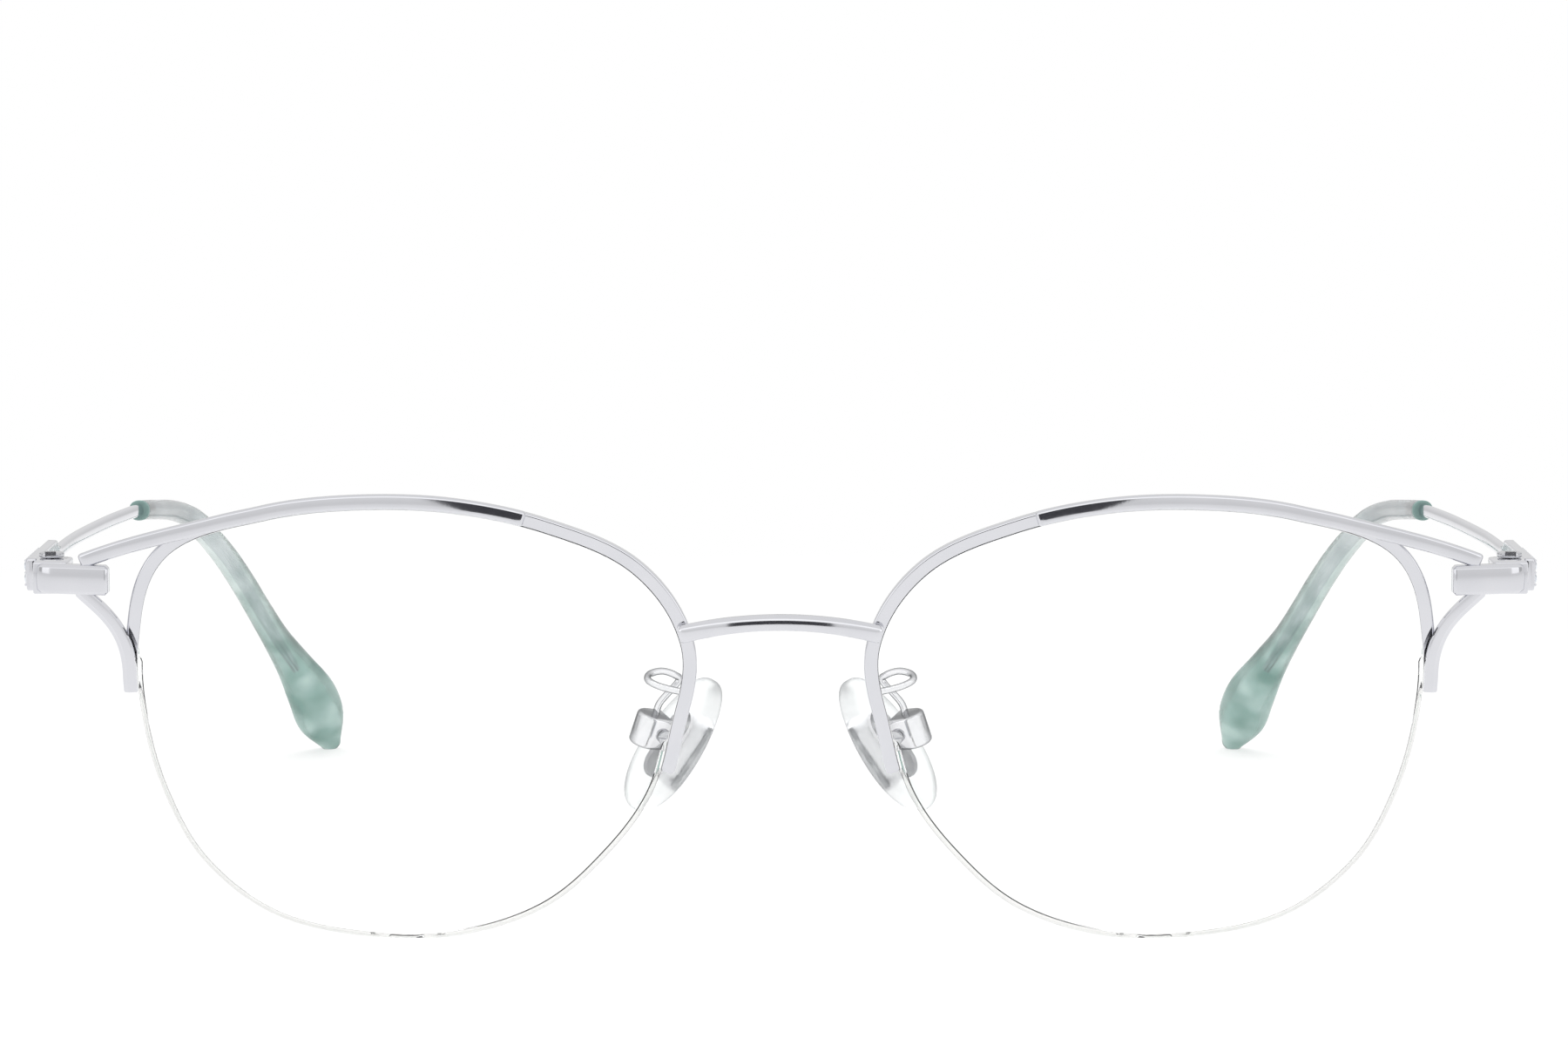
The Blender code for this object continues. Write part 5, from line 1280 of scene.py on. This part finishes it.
stones = []
for i in range(STONE_COUNT):
    for j in range(STONE_ROWS):
        at = ((i + 0.5 - STONE_COUNT / 2) * pitch, (j + 0.5 - STONE_ROWS / 2) * row_pitch * STONE_ROW_SHARE,
              TRIM_THICKNESS - STONE_SINK)
        bpy.ops.object.select_all(action="DESELECT")
        bpy.ops.mesh.primitive_cylinder_add(vertices=STONE_SIDES, radius=STONE_RADIUS * MM,
                                            depth=STONE_GIRDLE * MM, location=[c * MM for c in at])
        stone = bpy.context.object
        bpy.ops.object.mode_set(mode="EDIT")
        bpy.ops.mesh.select_all(action="DESELECT")
        bpy.ops.object.mode_set(mode="OBJECT")
        for face in stone.data.polygons:
            face.select = face.normal.z > 0.9
        bpy.ops.object.mode_set(mode="EDIT")
        bpy.ops.mesh.extrude_region_move(TRANSFORM_OT_translate={"value": (0.0, 0.0, STONE_CROWN * MM)})
        bpy.ops.transform.resize(value=(STONE_TABLE, STONE_TABLE, 1.0))
        bpy.ops.object.mode_set(mode="OBJECT")
        stones.append(stone)
gems = stones[0]
join(*stones)
gems.name = "trim_stones"
bpy.ops.object.transform_apply(location=True, rotation=True, scale=True)
gems.data.transform(trim_frame)
gems.data.flip_normals()

# Cut crystal glass over foil: bright facets with a cold sparkle, in cells of 1.1 mm, about
# one to a stone.
cut_crystal, tree, shader, where = finish("cut crystal", {"IOR": 1.6, "Metallic": 0.5, "Coat Weight": 0.6})
sparkle = add(tree, "ShaderNodeTexVoronoi", {"Vector": (where, "Object"), "Scale": 0.9 / MM})
glint = add(tree, "ShaderNodeMapRange", {"Value": (sparkle, "Distance"), "To Min": 0.02, "To Max": 0.08})
tree.links.new(glint.outputs["Result"], shader.inputs["Roughness"])
tint = add(tree, "ShaderNodeMix", {SHARE: (sparkle, "Distance"), FIRST: colour("EEF2F7"),
                                   SECOND: colour("C9D2DE")}, data_type="RGBA")
tree.links.new(tint.outputs[MIXTURE], shader.inputs["Base Color"])
fit(gems, "temple", "stones", cut_crystal, "temple_trim", smooth=5)


# The studio is a white paper sweep under one soft box. The paper is white in its own colour,
# and it glows only for the camera, in mirrors and through the lenses, more so further out, so
# that it keeps the glasses' shadow.

PAPER_SIZE = 6.0
# How much brighter what lies behind a lens is drawn, for the light that the lens takes away.
LENS_LIFT = 0.08


def studio_rays(tree):
    """The kinds of ray, whether one comes off metal and not through plastic, and the lens's lift."""
    rays = add(tree, "ShaderNodeLightPath", {})
    clear = add(tree, "ShaderNodeMath", {0: 1.0, 1: (rays, "Is Transmission Ray")}, operation="SUBTRACT")
    mirrored = add(tree, "ShaderNodeMath", {0: (rays, "Is Glossy Ray"), 1: (clear, 0)}, operation="MULTIPLY")
    lift = add(tree, "ShaderNodeMath", {0: (rays, "Is Transmission Ray"), 1: LENS_LIFT, 2: 1.0},
               operation="MULTIPLY_ADD")
    return rays, mirrored, lift


bpy.ops.object.select_all(action="DESELECT")
bpy.ops.mesh.primitive_plane_add(size=PAPER_SIZE, location=(0.0, 0.0, 0.0))
floor = bpy.context.object
floor.name = "studio_floor"
# Matt white paper, with a clouding in patches of 25 mm that is hardly seen.
white_floor, tree, shader, where = grained("white studio floor", 0.04, None, ("F6F6F6", "F3F3F3"),
                                           {"Roughness": 0.9, "Specular IOR Level": 0.0})
rays, mirrored, lift = studio_rays(tree)
seen = add(tree, "ShaderNodeMath", {0: (rays, "Is Camera Ray"), 1: (rays, "Is Glossy Ray")}, operation="ADD")
seen = add(tree, "ShaderNodeMath", {0: (seen, 0), 1: (rays, "Is Transmission Ray")}, operation="ADD",
           use_clamp=True)
reach = add(tree, "ShaderNodeVectorMath", {0: (where, "Object")}, operation="LENGTH")
# The glow is 0.6 of the paper's light within 0.1 m and all of it beyond 0.3 m. In mirrors it
# dims by up to 0.2 towards 0.9 m.
edge = add(tree, "ShaderNodeMapRange", {"Value": (reach, "Value"), "From Min": 0.1, "From Max": 0.3,
                                        "To Min": 0.6, "To Max": 1.0})
share = add(tree, "ShaderNodeMath", {0: (seen, 0), 1: (edge, "Result")}, operation="MULTIPLY")
far = add(tree, "ShaderNodeMapRange", {"Value": (reach, "Value"), "From Min": 0.3, "From Max": 0.9,
                                       "To Min": 0.0, "To Max": 0.2})
drop = add(tree, "ShaderNodeMath", {0: (far, "Result"), 1: (mirrored, 0)}, operation="MULTIPLY")
level = add(tree, "ShaderNodeMath", {0: (lift, 0), 1: (drop, 0)}, operation="SUBTRACT")
glow = add(tree, "ShaderNodeEmission", {"Color": colour("FFFFFF"), "Strength": (level, 0)})
both = add(tree, "ShaderNodeMixShader", {0: (share, 0), 1: (shader, "BSDF"), 2: (glow, "Emission")})
tree.links.new(both.outputs["Shader"], tree.nodes["Material Output"].inputs["Surface"])
floor.data.materials.append(white_floor)
floor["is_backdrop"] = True

# The world: white where it is seen, and for the metal a room of white cards with gaps. Going
# out from the photographer there is a card, a lit box, a dark gap, a pale wall and the dim
# rear; going up there is grey, the overhead box, and grey again behind it. Each band is an
# angle in degrees and its level.
ROOM_AROUND = ((0, 0.93), (47, 0.93), (53, 1.4), (80, 1.4), (84, 0.6), (96, 0.6), (101, 0.95),
               (122, 0.95), (127, 0.5), (140, 0.55), (148, 0.8), (180, 0.85))
ROOM_OVER = ((0, 0.93), (20, 0.95), (26, 1.3), (50, 1.3), (58, 0.92), (125, 0.92), (145, 0.7), (180, 0.75))
DIFFUSE_LEVEL = 0.8

world = bpy.data.worlds.new("white studio")
bpy.context.scene.world = world
world.use_nodes = True
tree = world.node_tree
ground = tree.nodes["Background"]
way = add(tree, "ShaderNodeTexCoord", {})
parts = add(tree, "ShaderNodeSeparateXYZ", {"Vector": (way, "Generated")})
aside = add(tree, "ShaderNodeMath", {0: (parts, "X")}, operation="ABSOLUTE")
front = add(tree, "ShaderNodeMath", {0: (parts, "Y"), 1: -1.0}, operation="MULTIPLY")
around = add(tree, "ShaderNodeMath", {0: (aside, 0), 1: (front, 0)}, operation="ARCTAN2")
over = add(tree, "ShaderNodeMath", {0: (parts, "Z"), 1: (front, 0)}, operation="ARCTAN2")
walls = []
for angle, bands in ((around, ROOM_AROUND), (over, ROOM_OVER)):
    turnings = add(tree, "ShaderNodeMath", {0: (angle, 0), 1: math.pi}, operation="DIVIDE")
    ramp = add(tree, "ShaderNodeValToRGB", {"Fac": (turnings, 0)})
    stops = ramp.color_ramp.elements
    while len(stops) < len(bands):
        stops.new(0.5)
    for stop, (degrees, level) in zip(stops, bands):
        stop.position = degrees / 180
    for stop, (degrees, level) in zip(stops, bands):
        stop.color = (level / 2, level / 2, level / 2, 1.0)
    walls.append(ramp)
# The overhead bands take over where one looks up by 20 to 27 degrees, and the room gets brighter
# from the floor up.
raised = add(tree, "ShaderNodeMapRange", {"Value": (parts, "Z"), "From Min": 0.33, "From Max": 0.45})
room = add(tree, "ShaderNodeMix", {SHARE: (raised, "Result"), FIRST: (walls[0], "Color"),
                                   SECOND: (walls[1], "Color")}, data_type="RGBA")
skyline = add(tree, "ShaderNodeMapRange", {"Value": (parts, "Z"), "From Max": 0.25,
                                           "To Min": 1.72, "To Max": 2.0})
level = add(tree, "ShaderNodeMath", {0: (room, MIXTURE), 1: (skyline, "Result")}, operation="MULTIPLY")
rays, mirrored, lift = studio_rays(tree)
shiny = add(tree, "ShaderNodeMix", {0: (mirrored, 0), 2: (lift, 0), 3: (level, 0)}, data_type="FLOAT")
matte = add(tree, "ShaderNodeMix", {0: (rays, "Is Diffuse Ray"), 2: (shiny, 0), 3: DIFFUSE_LEVEL},
            data_type="FLOAT")
tree.links.new(matte.outputs[0], ground.inputs["Strength"])
ground.inputs["Color"].default_value = (1.0, 1.0, 1.0, 1.0)

bpy.ops.object.light_add(type="AREA", location=(0.0, 0.05, 1.0))
lamp = bpy.context.object
lamp.name = "overhead_softbox"
lamp.data.shape = "RECTANGLE"
lamp.data.size = 1.3
lamp.data.size_y = 0.9
lamp.data.energy = 7.2
lamp.visible_glossy = False

# A flag of black cloth stands round the camera's lens. It is what the black lines in polished
# metal show, and it is a little wider above than below.
FLAG_SCALE = (0.144, 0.098, 1.0)
FLAG_WIDER_ABOVE = 1.15
FLAG_NARROWER_BELOW = 0.97

bpy.ops.object.select_all(action="DESELECT")
bpy.ops.mesh.primitive_plane_add(size=1.0, location=(0.0, -0.33, 0.059),
                                 rotation=(math.radians(90), 0.0, 0.0))
flag = bpy.context.object
flag.name = "camera_flag"
flag.scale = FLAG_SCALE
for corner in flag.data.vertices:
    corner.co.x *= FLAG_WIDER_ABOVE if corner.co.y > 0 else FLAG_NARROWER_BELOW
# Black cloth with a nap, in patches of 3 mm: it takes nearly all light.
dark_cloth = grained("black flag cloth", 0.3, None, ("3C3C40", "4A4A4E"),
                     {"Roughness": 1.0, "Specular IOR Level": 0.0})[0]
flag.data.materials.append(dark_cloth)
flag.visible_camera = False
flag.visible_diffuse = False
flag.visible_shadow = False
flag.visible_transmission = False
flag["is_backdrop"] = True

# The camera stands a little above the glasses and looks down by 5.45 degrees.
CAMERA_DIP = 5.45

view = bpy.data.cameras.new("studio_camera")
view.lens = 122.98
view.sensor_width = 36.0
view.clip_start = 0.01
camera = bpy.data.objects.new("studio_camera", view)
camera.location = (0.00033, -0.567912, 0.08785)
camera.rotation_euler = (math.radians(90 - CAMERA_DIP), 0.0, 0.0)
bpy.context.scene.collection.objects.link(camera)
bpy.context.scene.camera = camera
bpy.context.scene.view_settings.view_transform = "Standard"

low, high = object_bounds()
